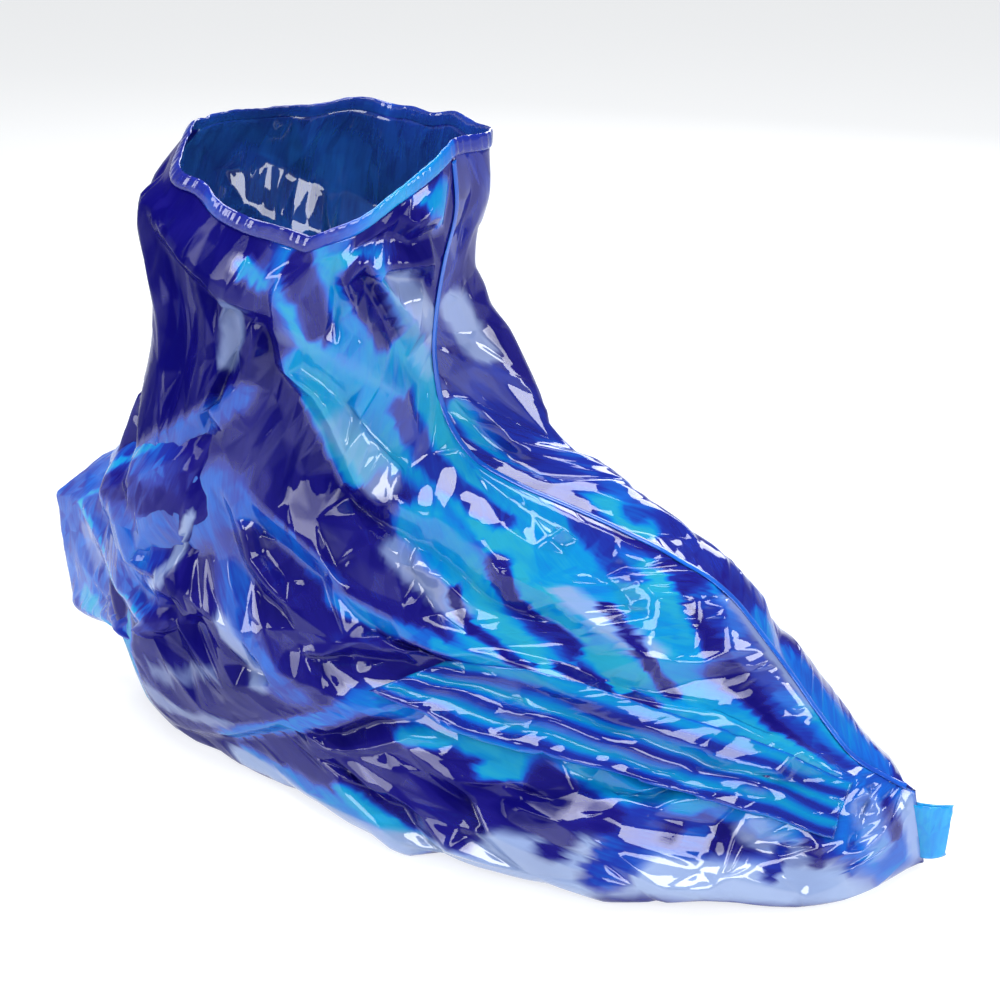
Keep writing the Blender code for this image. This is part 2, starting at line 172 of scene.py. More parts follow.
CREASES = {
    "left_fold": ((184, 140, 1), (206, 187, 3), (228, 222, 4), (249, 252, 4), (270, 290, 2)),
    "left_roll": (
        (145, 193, 4), (156, 215, 5), (171, 239, 5), (200, 270, 5), (228, 297, 5), (273, 313, 3),
    ),
    "left_roll_foot": ((150, 240, -3), (185, 282, -3), (222, 312, -4), (262, 330, -2)),
    "overlap": (
        (305, 231, 1), (293, 252, 4), (285, 275, 5), (276, 300, 6), (275, 322, 7), (280, 350, 7),
        (288, 366, 7), (314, 392, 7), (336, 420, 7), (347, 450, 7), (358, 480, 6), (376, 502, 6),
        (400, 507, 6), (420, 512, 6), (445, 518, 5),
    ),
    "overlap_run": (
        (445, 518, 5), (462, 540, 4), (480, 538, 6), (490, 560, 5), (499, 577, 6), (541, 580, 5),
    ),
    "overlap_end": ((541, 580, 5), (585, 622, 5), (641, 657, 5), (670, 658, 3), (705, 662, 2)),
    "overlap_foot": (
        (264, 330, -3), (272, 366, -4), (298, 400, -4), (322, 432, -4), (336, 475, -4),
        (352, 508, -4), (390, 530, -4), (430, 548, -4), (462, 575, -3), (490, 600, -3),
        (540, 610, -3), (590, 655, -2),
    ),
    "lobe": ((299, 342, 4), (322, 336, 6), (333, 344, 6), (352, 366, 6), (399, 399, 5)),
    "lobe_hollow": ((305, 366, 0), (340, 398, -1), (372, 432, -1), (412, 474, 0)),
    "lobe_streak": ((352, 410, 4), (372, 436, 5), (392, 460, 5), (410, 470, 3)),
    "stay": ((343, 240, 2), (347, 270, 4), (352, 300, 4), (357, 314, 3)),
    "stay_hollow": ((336, 262, -1), (338, 300, -2), (334, 322, -1)),
    "long_ridge": (
        (345, 238, 3), (360, 255, 4), (378, 278, 5), (395, 298, 5), (412, 330, 5), (448, 385, 4),
    ),
    "long_hollow": ((362, 280, -2), (382, 310, -3), (402, 344, -3), (425, 380, -2)),
    "diamond": ((342, 321, 1), (357, 313, 4), (373, 327, 1), (362, 342, 4), (342, 321, 1)),
    "peak_side": ((440, 377, 4), (447, 400, 6), (452, 425, 6), (455, 438, 7)),
    "crest": (
        (455, 438, 7), (490, 456, 5), (530, 478, 5), (580, 505, 4), (640, 537, 4), (713, 575, 5),
    ),
    "crest_twin": ((455, 438, 7), (500, 470, 3), (560, 502, 3), (620, 536, 3)),
    "crest_hollow": ((462, 450, 0), (510, 490, -3), (570, 525, -3), (640, 566, -2)),
    "far_wedge": ((470, 402, 3), (500, 430, 4), (545, 461, 2)),
    "far_wedge_foot": ((474, 425, -1), (505, 447, -2), (540, 470, 0)),
    "shaft_patch": ((396, 299, 4), (421, 293, 5), (446, 291, 5), (484, 308, 4)),
    "shaft_patch_foot": ((404, 317, 1), (440, 347, 3), (468, 363, 4), (484, 308, 4)),
    "shaft_patch_rib": ((446, 291, 5), (452, 330, 2), (468, 363, 4)),
    "shaft_hollow": ((372, 282, -2), (405, 283, -3), (440, 281, -3), (470, 279, -1)),
    "shaft_ridge": ((370, 273, 3), (400, 262, 5), (430, 255, 5), (455, 262, 4), (466, 276, 2)),
    "collar_notch": (
        (350, 196, 1), (382, 200, 3), (400, 210, 4), (415, 225, 5), (440, 214, 4), (478, 190, 3),
    ),
    "collar_notch_hollow": ((360, 232, -3), (390, 236, -4), (415, 245, -3), (450, 228, -3)),
    "collar_tuck": ((400, 160, 2), (425, 178, 4), (415, 225, 5)),
    "collar_side": ((443, 150, 1), (455, 168, 3), (475, 172, 3)),
    "instep_facet": ((713, 575, 5), (722, 610, 5), (729, 645, 3), (705, 662, 2)),
    "instep_facet_left": ((700, 575, 0), (704, 615, -2), (700, 645, -1)),
    "flank_rib": ((630, 573, 3), (652, 600, 5), (650, 628, 4), (641, 657, 5)),
    "flank_hollow": ((560, 545, -2), (600, 575, -3), (628, 610, -2)),
    "flank_ridge": ((499, 577, 6), (520, 562, 3), (535, 550, 4), (560, 530, 3)),
    "far_facet": ((713, 575, 5), (745, 612, 4), (785, 662, 4), (817, 713, 3)),
    "far_facet_foot": ((729, 645, 2), (765, 680, -1), (800, 715, -2), (848, 768, 1)),
    "far_facet_side": ((740, 690, -2), (780, 720, -2), (820, 752, 0)),
    "fan_top": (
        (520, 660, 2), (600, 692, 4), (650, 700, 5), (720, 712, 4), (790, 745, 4), (855, 777, 5),
    ),
    "fan_top_hollow": ((560, 662, -2), (620, 684, -2), (700, 700, -2), (770, 728, -1)),
    "fan_upper": ((330, 589, 2), (390, 615, 4), (447, 640, 4), (530, 667, 5), (600, 704, 4)),
    "fan_upper_hollow": ((355, 620, -2), (420, 645, -3), (500, 672, -2), (560, 698, -2)),
    "fan_rib": ((300, 640, 2), (345, 641, 4), (400, 640, 3), (447, 652, 3)),
    "fan_rib_hollow": ((318, 655, -2), (350, 652, -2), (400, 660, -3), (450, 672, -2)),
    "toe_box_top": ((855, 777, 5), (882, 780, 4), (907, 785, 5)),
    "toe_box_front": ((907, 785, 5), (905, 810, 4), (901, 832, 4), (875, 843, 3), (845, 853, 4)),
    "toe_box_side": ((855, 777, 5), (850, 812, 1), (845, 853, 4)),
    "toe_box_cross": ((862, 785, 4), (880, 812, 5), (897, 836, 3)),
    "toe_box_hollow": ((872, 790, 0), (868, 815, -2), (860, 840, -1)),
    "toe_edge": ((907, 785, 5), (918, 820, 3), (934, 860, 1)),
    "toe_arrow": (
        (755, 785, 3), (800, 818, 4), (816, 845, 5), (800, 850, 3), (760, 862, 2), (712, 884, 3),
    ),
    "toe_arrow_side": ((812, 812, 2), (816, 845, 5), (820, 868, 1), (800, 892, 0)),
    "sole_star_ridge": ((390, 766, 4), (425, 768, 3), (460, 777, 7), (477, 805, 4), (489, 837, 6)),
    "sole_star_fold": (
        (489, 837, 6), (505, 822, 3), (518, 808, 6), (500, 795, 2), (482, 785, 3), (460, 777, 7),
    ),
    "sole_star_top": ((440, 745, 3), (460, 777, 7), (500, 780, 4), (520, 786, 3), (547, 797, 2)),
    "sole_star_loop": ((518, 808, 6), (522, 790, 0), (505, 778, 4)),
    "sole_star_hollow": ((470, 800, -3), (475, 825, -2), (460, 835, -2)),
    "sole_tail": ((398, 784, 3), (415, 815, 1), (448, 846, 5), (455, 815, 0), (462, 800, -2)),
    "sole_tail_hollow": ((400, 805, -4), (420, 840, -3), (440, 852, 0)),
    "sole_bay_top": ((318, 756, 4), (370, 752, 2), (420, 742, 3), (480, 738, 3), (560, 762, 4)),
    "sole_bay": ((320, 738, 1), (332, 750, 4), (375, 747, 4), (415, 738, 4)),
    "sole_bay_hollow": ((335, 735, -3), (370, 728, -4), (405, 725, -3)),
    "sole_lip": ((305, 722, 4), (330, 728, 5), (370, 713, 5), (398, 704, 4)),
    "sole_lip_side": ((305, 722, 4), (318, 756, 4), (345, 790, 3), (400, 842, 3), (444, 857, 2)),
    "sole_hollow": ((350, 775, -2), (380, 800, -3), (410, 835, -2)),
    "sole_rim_rib": ((345, 775, 3), (375, 782, 4), (400, 795, 3), (418, 818, 2)),
    "sole_point": ((565, 763, 4), (574, 792, 2), (571, 823, 7), (596, 802, 3), (640, 788, 3)),
    "sole_point_ridge": ((571, 823, 7), (610, 815, 5), (645, 810, 5), (670, 802, 6)),
    "sole_point_hollow": ((590, 780, -3), (620, 790, -2), (650, 795, -2)),
    "sole_wave_ridge": ((590, 884, 5), (606, 862, 3), (622, 838, 4), (650, 815, 4)),
    "sole_spire": ((711, 885, 4), (722, 860, 2), (735, 835, 2), (742, 820, 2)),
    "sole_spire_hollow": ((700, 870, -1), (712, 848, -2), (722, 822, -1)),
    "sole_spire_right": ((735, 870, 0), (745, 845, -1), (765, 835, -1), (790, 842, -1)),
    "front_lip": ((640, 892, 2), (711, 885, 6), (760, 862, 3)),
    "heel_fold": ((121, 558, 3), (133, 562, 5), (160, 575, 6), (184, 585, 6), (220, 622, 5)),
    "heel_fold_hollow": ((130, 585, -3), (165, 605, -4), (200, 628, -3)),
    "heel_shelf": ((140, 553, -1), (180, 553, -3), (224, 560, -2)),
    "heel_shelf_top": ((180, 462, 3), (200, 480, 2), (222, 484, 3)),
    "heel_drop": ((178, 492, 3), (158, 520, 4), (140, 548, 3)),
    "heel_base_top": ((150, 628, 3), (180, 622, 3), (205, 610, 3), (220, 622, 5)),
    "heel_base_edge": ((185, 712, 3), (210, 704, 4), (226, 700, 3)),
    "base_line": ((173, 731, 2), (230, 735, 3), (304, 713, 4)),
    "base_line_foot": ((200, 742, -1), (250, 742, -2), (300, 730, -2)),
    "near_facet": ((222, 620, 5), (245, 636, 5), (266, 664, 6), (300, 680, 5), (346, 695, 4)),
    "near_facet_side": ((222, 620, 5), (225, 650, 3), (228, 684, 4), (230, 705, 3), (236, 725, 2)),
    "near_facet_low": ((228, 684, 4), (262, 683, 4), (303, 681, 5), (288, 700, 3), (236, 725, 2)),
    "near_facet_hollow": ((240, 668, -2), (262, 674, -1)),
    "crescent": ((231, 505, 4), (245, 530, 6), (254, 560, 6), (272, 586, 6), (291, 606, 5)),
    "crescent_foot": ((226, 520, -1), (236, 560, -3), (256, 596, -3), (280, 612, -1)),
    "crescent_inner": ((252, 520, 0), (266, 556, -2), (288, 584, -2)),
    "streak": ((238, 478, 4), (262, 500, 5), (290, 530, 5), (318, 560, 5), (335, 578, 4)),
    "streak_foot": ((262, 530, -3), (290, 558, -3), (318, 580, -2)),
    "grey_top": ((357, 514, 2), (372, 540, 4), (400, 562, 5), (440, 578, 5), (468, 603, 4)),
    "grey_foot": ((330, 562, 0), (350, 585, 2), (398, 605, 3), (445, 629, 4), (468, 632, 3)),
    "grey_slot": ((408, 566, 0), (425, 590, -2), (440, 612, -1)),
    "near_rib": ((268, 630, 4), (300, 628, 3), (345, 634, 3), (380, 636, 3)),
    "near_rib_turn": ((275, 633, 4), (290, 648, 2), (325, 655, 4), (350, 643, 3), (420, 650, 3)),
    "shaft_window": ((223, 306, 2), (214, 340, 2), (216, 374, 2), (232, 350, -1), (258, 316, 1)),
    "shaft_fall": ((255, 345, 3), (238, 390, 3), (226, 430, 3), (222, 470, 3)),
    "shaft_fall_hollow": ((235, 345, -3), (212, 400, -4), (196, 440, -3)),
    "shaft_lean": ((222, 405, 3), (180, 425, 3), (140, 450, 3)),
    "shaft_dent": ((270, 395, -3), (285, 440, -4), (300, 480, -3)),
    "shaft_dent_ridge": ((250, 430, 3), (262, 470, 3), (290, 500, 2)),
}

HIDDEN_CREASES = {
    Side.RIGHT: {
        "back_roll": ((0.80, 0.02, 2), (0.78, 0.12, 4), (0.84, 0.24, 4), (0.80, 0.34, 3)),
        "back_hollow": ((0.86, 0.05, -3), (0.88, 0.16, -4), (0.78, 0.27, -3)),
        "sole_draw": ((0.90, 0.56, 1), (0.84, 0.64, 2), (0.88, 0.74, 1)),
    },
    Side.LEFT: {
        "collar_roll": (
            (0.20, 0.02, 2), (0.32, 0.07, 5), (0.46, 0.10, 6), (0.62, 0.08, 5), (0.84, 0.03, 3),
        ),
        "collar_hollow": ((0.24, 0.10, -2), (0.40, 0.14, -4), (0.60, 0.13, -4), (0.80, 0.09, -3)),
        "long_fold": (
            (0.34, 0.12, 5), (0.40, 0.22, 6), (0.38, 0.32, 6), (0.30, 0.42, 5), (0.22, 0.54, 5),
            (0.16, 0.68, 4),
        ),
        "long_hollow": ((0.44, 0.20, -5), (0.46, 0.32, -5), (0.38, 0.44, -5), (0.30, 0.56, -4)),
        "shaft_fold": ((0.62, 0.12, 4), (0.58, 0.24, 5), (0.64, 0.34, 5), (0.60, 0.42, 5)),
        "shaft_hollow": ((0.72, 0.10, -4), (0.68, 0.24, -5), (0.74, 0.36, -4)),
        "ankle_star": ((0.52, 0.36, 2), (0.50, 0.43, 7), (0.42, 0.47, 3)),
        "ankle_star_side": ((0.62, 0.46, 3), (0.50, 0.43, 7), (0.52, 0.52, 3), (0.46, 0.60, 4)),
        "heel_fold": ((0.92, 0.40, 3), (0.76, 0.44, 6), (0.62, 0.49, 5), (0.54, 0.55, 4)),
        "heel_hollow": ((0.88, 0.48, -3), (0.72, 0.51, -4), (0.60, 0.56, -3)),
        "side_fan": (
            (0.60, 0.56, 5), (0.48, 0.66, 5), (0.38, 0.78, 5), (0.26, 0.90, 5), (0.20, 0.95, 3),
        ),
        "side_fan_hollow": ((0.54, 0.58, -4), (0.42, 0.68, -4), (0.32, 0.80, -3)),
        "side_fan_low": ((0.66, 0.62, 4), (0.58, 0.72, 5), (0.48, 0.82, 5), (0.36, 0.92, 4)),
        "side_low_hollow": ((0.62, 0.66, -3), (0.54, 0.76, -4), (0.44, 0.87, -3)),
        "top_fan": ((0.12, 0.60, 3), (0.16, 0.72, 4), (0.20, 0.84, 4), (0.22, 0.93, 4)),
        "toe_fold": ((0.22, 0.93, 4), (0.40, 0.93, 3), (0.56, 0.95, 2)),
        "base_fold": (
            (0.72, 0.54, 4), (0.66, 0.60, 5), (0.70, 0.68, 4), (0.64, 0.74, 5), (0.66, 0.82, 3),
        ),
        "back_roll": ((0.84, 0.04, 2), (0.86, 0.18, 4), (0.84, 0.32, 3)),
    },
}

# Strokes by their places in the picture. Up to tone 1 they paint the film deep indigo or clear
# bright blue, the bright blue being painted light that comes through its layers; over tone 1 they
# are painted reflections and highlights.
STROKES = made(
    Stroke,
    (((150, 180), (185, 240), (190, 340), (160, 430)), 30, 0.02),
    (((200, 200), (250, 250), (290, 262)), 16, 0.04),
    (((255, 340), (290, 420), (330, 500)), 16, 0.08, 0.8),
    (((470, 250), (500, 330), (540, 400)), 12, 0.14, 0.8),
    (
        (
            (320, 245), (332, 290), (350, 345), (400, 400), (455, 460), (520, 520), (600, 575),
            (690, 640),
        ),
        24, 0.80,
    ),
    (
        (
            (345, 245), (385, 310), (430, 370), (470, 415), (560, 470), (640, 525), (700, 590),
            (720, 640),
        ),
        9, 0.95,
    ),
    (((310, 360), (350, 410), (400, 450)), 12, 0.82),
    (((420, 520), (470, 580), (500, 640), (560, 690)), 14, 0.90, 0.9),
    (((560, 560), (600, 620), (660, 680), (760, 740)), 16, 0.80),
    (((640, 590), (690, 640)), 14, 0.88, 0.8),
    (((780, 705), (820, 735), (855, 770)), 12, 0.90),
    (((345, 215), (400, 180), (470, 130)), 7, 0.60),
    (((370, 215), (410, 222), (440, 205), (478, 195)), 9, 0.82),
    (((430, 170), (470, 165)), 8, 0.80),
    (((300, 300), (320, 400), (360, 470)), 8, 0.92),
    (((330, 600), (420, 635), (520, 672), (620, 705)), 6, 0.62),
    (((380, 700), (470, 720), (560, 740), (660, 765)), 14, 0.62),
    (((430, 690), (470, 700), (530, 690), (600, 715)), 9, 0.95, 0.9),
    (((410, 735), (440, 738)), 7, 0.90),
    (((480, 742), (510, 745), (500, 790)), 9, 0.92),
    (((580, 760), (640, 790), (720, 800)), 9, 0.78),
    (((740, 800), (790, 830)), 9, 0.72),
    (((250, 760), (330, 800), (420, 852), (480, 868)), 8, 0.66),
    (((345, 790), (400, 835), (440, 852)), 5, 0.86),
    (((90, 530), (150, 530), (215, 500)), 18, 0.55),
    (((130, 628), (137, 662), (150, 700)), 5, 0.90),
    (((165, 640), (202, 652)), 8, 0.04),
    (((152, 690), (190, 712), (228, 720)), 5, 1.12),
    (((156, 668), (186, 678), (214, 670)), 3, 1.10),
    (((130, 470), (200, 420), (240, 400)), 8, 0.62, 0.8),
    (((230, 735), (300, 722), (370, 700)), 6, 0.66),
    (((225, 560), (250, 640), (290, 690)), 10, 0.50),
    (((240, 500), (290, 545), (330, 580)), 7, 0.52),
    (((245, 262), (262, 285)), 5, 0.85),
    (((620, 850), (680, 870), (760, 870)), 10, 0.50),
    (((490, 380), (540, 440), (600, 480)), 16, 0.36),
    (((240, 770), (330, 815), (410, 850), (480, 866), (560, 884)), 8, 1.25),
    (((540, 590), (570, 640), (640, 680)), 6, 1.0, 0.8),
    (((500, 850), (570, 868), (650, 876), (740, 880), (810, 880), (900, 866)), 11, 1.26),
    (((440, 862), (520, 846), (600, 850)), 7, 1.24),
    (((746, 822), (772, 838), (800, 852)), 6, 1.15),
    (((806, 830), (816, 858)), 4, 0.20),
    (((612, 842), (592, 874)), 4, 0.45),
    (((452, 800), (500, 800), (540, 812)), 11, 0.06),
    (((228, 622), (240, 650), (262, 682)), 5, 1.18),
    (((226, 312), (232, 335), (228, 358)), 5, 1.16, 0.9),
    (((395, 545), (430, 590), (455, 610)), 7, 1.20, 0.8),
    (((404, 300), (420, 318), (434, 334)), 11, 1.20),
    (((452, 306), (466, 330), (480, 350)), 8, 1.20),
    (((285, 330), (340, 356), (402, 394)), 4, 1.05),
    (((338, 424), (366, 458), (386, 486)), 8, 1.15),
    (((424, 345), (436, 370)), 6, 1.15),
    (((366, 228), (400, 226), (426, 240)), 8, 0.08),
    (((354, 272), (372, 305), (390, 338)), 8, 0.14),
    (((300, 262), (312, 300), (318, 330)), 7, 0.20),
    (((400, 400), (440, 470), (500, 520)), 7, 0.24, 0.8),
    (((565, 590), (610, 626), (650, 654)), 6, 1.22),
    (((722, 600), (758, 652), (800, 704)), 9, 1.15),
    (((735, 676), (790, 722), (845, 770)), 6, 0.12),
    (((690, 694), (760, 733), (850, 780)), 5, 0.90),
    (((672, 560), (702, 600), (716, 648)), 7, 0.22),
    (((500, 560), (540, 610), (580, 650)), 6, 0.16, 0.9),
    (((540, 664), (600, 682), (650, 702)), 5, 0.14),
    (((560, 500), (600, 545), (640, 580)), 5, 0.22, 0.6),
    (((845, 800), (880, 822), (905, 836)), 20, 0.60),
    (((862, 800), (876, 822), (880, 845)), 6, 1.12),
    (((905, 800), (916, 825), (925, 850)), 6, 1.22),
    (((886, 806), (896, 830)), 4, 0.30),
    (((760, 620), (802, 670), (846, 724), (886, 770)), 9, 0.60),
    (((700, 590), (770, 672), (850, 768)), 6, 0.50, 0.8),
    (((560, 440), (640, 512), (700, 575)), 7, 0.46, 0.9),
    (((646, 812), (626, 848), (604, 872)), 8, 0.44),
    (((572, 812), (550, 846)), 6, 0.24),
    (((706, 818), (692, 852)), 5, 0.46),
    (((476, 812), (458, 842)), 6, 0.22),
    (((784, 846), (774, 872)), 4, 0.34),
    (((852, 846), (850, 868)), 3, 0.44),
    (((470, 556), (520, 636), (562, 690)), 3, 0.96),
    (((522, 560), (572, 630), (622, 686)), 3, 0.96),
    (((436, 640), (480, 655), (520, 668)), 3, 0.90),
    (((452, 590), (500, 648), (536, 682)), 3, 0.15),
    (((604, 600), (640, 650), (672, 692)), 3, 0.20),
    (((640, 560), (668, 600), (690, 640)), 3, 0.94),
)

HEEL_CREASES = {
    "long_diagonal": (
        (0.60, 0.62, 1), (0.46, 0.46, 3), (0.30, 0.32, 4), (0.14, 0.20, 3), (0.04, 0.14, 1),
    ),
    "upper_diagonal": ((0.60, 0.65, 1), (0.44, 0.75, 3), (0.26, 0.85, 3), (0.10, 0.93, 2)),
    "middle_hollow": ((0.52, 0.60, 0), (0.34, 0.58, -2), (0.18, 0.60, -3), (0.06, 0.62, -2)),
    "lower_diagonal": ((0.58, 0.34, 1), (0.44, 0.24, 2), (0.28, 0.10, 2)),
    "lower_hollow": ((0.54, 0.46, 0), (0.38, 0.30, -2), (0.22, 0.16, -2)),
    "shard": ((0.08, 0.72, 1), (0.11, 0.52, 3), (0.18, 0.38, 2)),
}

# Patches on the heel flap: the clear bright ones are painted light coming through the flap, and
# those over tone 1 are painted reflections and highlights.
HEEL_PATCHES = made(
    Stroke,
    (((0.46, 0.80), (0.30, 0.78), (0.14, 0.74)), 10, 0.28),
    (((0.42, 0.38), (0.30, 0.26), (0.20, 0.20)), 9, 1.12),
    (((0.56, 0.50), (0.50, 0.40)), 7, 1.10),
    (((0.58, 0.20), (0.44, 0.10), (0.30, 0.03)), 7, 0.86),
    (((0.60, 0.63), (0.46, 0.47), (0.32, 0.34), (0.18, 0.24)), 2, 0.92),
    (((0.60, 0.66), (0.44, 0.88), (0.24, 0.97)), 3, 0.80),
    (((0.09, 0.72), (0.12, 0.54), (0.18, 0.42)), 4, 1.20),
)

PLEAT_CREASES = {
    "first_ridge": (
        (0.16, 0.03, 1), (0.17, 0.25, 2), (0.20, 0.50, 2), (0.22, 0.75, 1), (0.24, 0.97, 1),
    ),
    "first_hollow": ((0.27, 0.03, -1), (0.28, 0.25, -2), (0.30, 0.50, -1), (0.32, 0.75, -1)),
    "second_ridge": (
        (0.38, 0.03, 1), (0.40, 0.25, 2), (0.42, 0.50, 2), (0.43, 0.75, 2), (0.44, 0.97, 1),
    ),
    "second_hollow": ((0.50, 0.03, -1), (0.51, 0.30, -1), (0.53, 0.60, -1), (0.54, 0.90, -1)),
    "lower_edge": (
        (0.66, 0.03, 1), (0.67, 0.25, 1), (0.68, 0.50, 1), (0.70, 0.75, 1), (0.71, 0.97, 0),
    ),
}


def curve_through(points: Any, steps: int) -> Array:
    """Runs a smooth curve through rows of numbers.

    Args:
        points: The rows.
        steps: How many steps there are from each row to the next.

    Returns:
        The rows of the curve, the last one included.
    """
    points = np.asarray(points, float)
    padded = np.vstack([2 * points[0] - points[1], points, 2 * points[-1] - points[-2]])
    rows = []
    for i in range(len(points) - 1):
        before, start, end, after = padded[i : i + 4]
        for t in np.arange(steps) / steps:
            bend = (2 * before - 5 * start + 4 * end - after) * t**2
            turn = (3 * start - before - 3 * end + after) * t**3
            rows.append((2 * start + (end - before) * t + bend + turn) / 2)
    rows.append(points[-1])
    return np.array(rows)


def evenly(points: Array, count: int) -> Array:
    """Spaces a path evenly.

    Args:
        points: The path's points.
        count: The number of equal steps.

    Returns:
        The count + 1 points.
    """
    steps = np.linalg.norm(np.diff(points, axis=0), axis=1)
    run = np.concatenate([[0.0], np.cumsum(steps)])
    at = np.linspace(0.0, run[-1], count + 1)
    return np.stack([np.interp(at, run, points[:, axis]) for axis in range(points.shape[1])], 1)


def ramp(value: Array) -> Array:
    """Returns a smooth step from 0 to 1 for values from 0 to 1."""
    value = np.clip(value, 0.0, 1.0)
    return value * value * (3 - 2 * value)


def unit(vectors: Array) -> Array:
    """Returns the vectors at length 1."""
    return vectors / np.maximum(np.linalg.norm(vectors, axis=-1, keepdims=True), 1e-9)


@dataclass(frozen=True)
class StudioCamera:
    """The camera at the photograph's angle, and where things fall in its picture."""

    azimuth: float = -65.0
    elevation: float = 22.3
    distance: float = 0.884
    target: Triple = (0.0, 0.011, 0.143)
    view_angle: float = 30.0
    picture: float = 1000.0

    def axes(self) -> tuple[Array, Array, Array, Array]:
        """Returns the camera's place and its forward, right and up directions."""
        turn, rise = math.radians(self.azimuth), math.radians(self.elevation)
        level = math.cos(rise)
        back = np.array([math.sin(turn) * level, -math.cos(turn) * level, math.sin(rise)])
        right = unit(np.cross(-back, [0.0, 0.0, 1.0]))
        return np.array(self.target) + self.distance * back, -back, right, np.cross(right, -back)

    def picture_places(self, points: Array) -> Arrays:
        """Finds where points fall in the picture.

        Args:
            points: Points in the frame.

        Returns:
            Their places across and down, and their depths.
        """
        place, forward, right, up = self.axes()
        focal = 0.5 / math.tan(math.radians(self.view_angle) / 2)
        away = points - place
        depth = away @ forward
        across = 0.5 + focal * (away @ right) / depth
        down = 0.5 - focal * (away @ up) / depth
        return np.stack([across, down], -1) * self.picture, depth

    def make(self) -> None:
        """Adds the camera to the scene and makes it the scene's camera."""
        place, forward, _, _ = self.axes()
        data = bpy.data.cameras.new("photo_camera")
        data.angle = math.radians(self.view_angle)
        data.clip_start = 0.02
        camera = bpy.data.objects.new("photo_camera", data)
        camera.location = Vector(place)
        camera.rotation_euler = Vector(forward).to_track_quat("-Z", "Y").to_euler()
        bpy.context.scene.collection.objects.link(camera)
        bpy.context.scene.camera = camera


@dataclass
class CoverForm:
    """The smooth worn form that both panels are laid on."""

    length: float = 0.406
    height: float = 0.306
    width: float = 0.182
    half_slit: float = 0.0004
    collar_dip: float = 0.034
    dip_at: float = 0.36
    dip_end: float = 0.95
    dip_fade: float = 0.17
    rim_wave: float = 0.030
    rim_rise: float = 0.0012
    wave_fade: float = 0.14
    steps: int = 8
    columns: int = 96
    heights: tuple[float, ...] = (0.0, 0.16, 0.5, 0.86, 1.0, 1.0)

    def half_loop(self, section: Section, side: Side) -> Array:
        """Draws one side of a section, from its front edge to its back or sole edge.

        Args:
            section: The section, in metres.
            side: The side to draw.

        Returns:
            Evenly spaced points: out from the middle plane, Y and Z.
        """
        front = np.array((section.front_y, section.front_z))
        back = np.array((section.back_y, max(section.back_z, 0.0)))
        shoulder = section.shoulder
        down = np.array(self.heights)
        if side is Side.LEFT:
            shoulder = section.left_shoulder
            down[1] = -section.left_rise / np.linalg.norm(back - front)
        out = (0.0, shoulder, section.middle, section.corner, section.flat, 0.0)
        spine = front + np.outer(down, back - front)
        corners = np.column_stack([np.maximum(out, self.half_slit), spine])
        mirrored = corners[[1, -2]] * (-1, 1, 1)
        path = curve_through(np.vstack([mirrored[0], corners, mirrored[1]]), self.steps)
        path = path[self.steps : -self.steps]
        path[:, 0] = np.maximum(path[:, 0], self.half_slit)
        return evenly(path, self.columns)

    def drop(self, loop: Array, rim: Array) -> Array:
        """Returns how far the right side of the collar dips at these places."""
        behind = (self.dip_end - loop) / (self.dip_end - self.dip_at)
        point = np.clip(np.minimum(loop / self.dip_at, behind), 0.0, 1.0)
        return self.collar_dip * point * ramp(1 - rim / self.dip_fade)

    def grid(self, side: Side) -> Array:
        """Lays out one side of the form.

        Args:
            side: The side.

        Returns:
            Rows of points from the rim to the toe, each from the front edge to the back.
        """
        scale = [self.length, self.height, self.length, self.height] + [self.width] * 6
        rows = curve_through([np.multiply(astuple(row), scale) for row in SECTIONS], self.steps)
        grid = np.array([self.half_loop(Section(*row), side) for row in rows])
        shares = np.linspace(0, 1, self.columns + 1), np.linspace(0, 1, len(grid))
        if side is Side.RIGHT:
            grid[..., 2] -= self.drop(*np.meshgrid(*shares))
        fade = ramp(1 - shares[1] / self.wave_fade)[:, None] * np.sin(math.pi * shares[0]) ** 0.5
        turn = shares[0] * math.pi + side.value
        wave = np.sin(turn * 5 + 1) + 0.7 * np.sin(turn * 9 + 2) + 0.5 * np.sin(turn * 16)
        grid[..., 0] *= 1 + self.rim_wave * fade * wave
        grid[..., 2] += self.rim_rise * fade * (np.sin(turn * 7) + 0.6 * np.sin(turn * 13 + 1))
        grid[..., 0] *= side.value
        grid[..., 2] = np.maximum(grid[..., 2], 0.0) + FLOOR_HEIGHT
        return grid


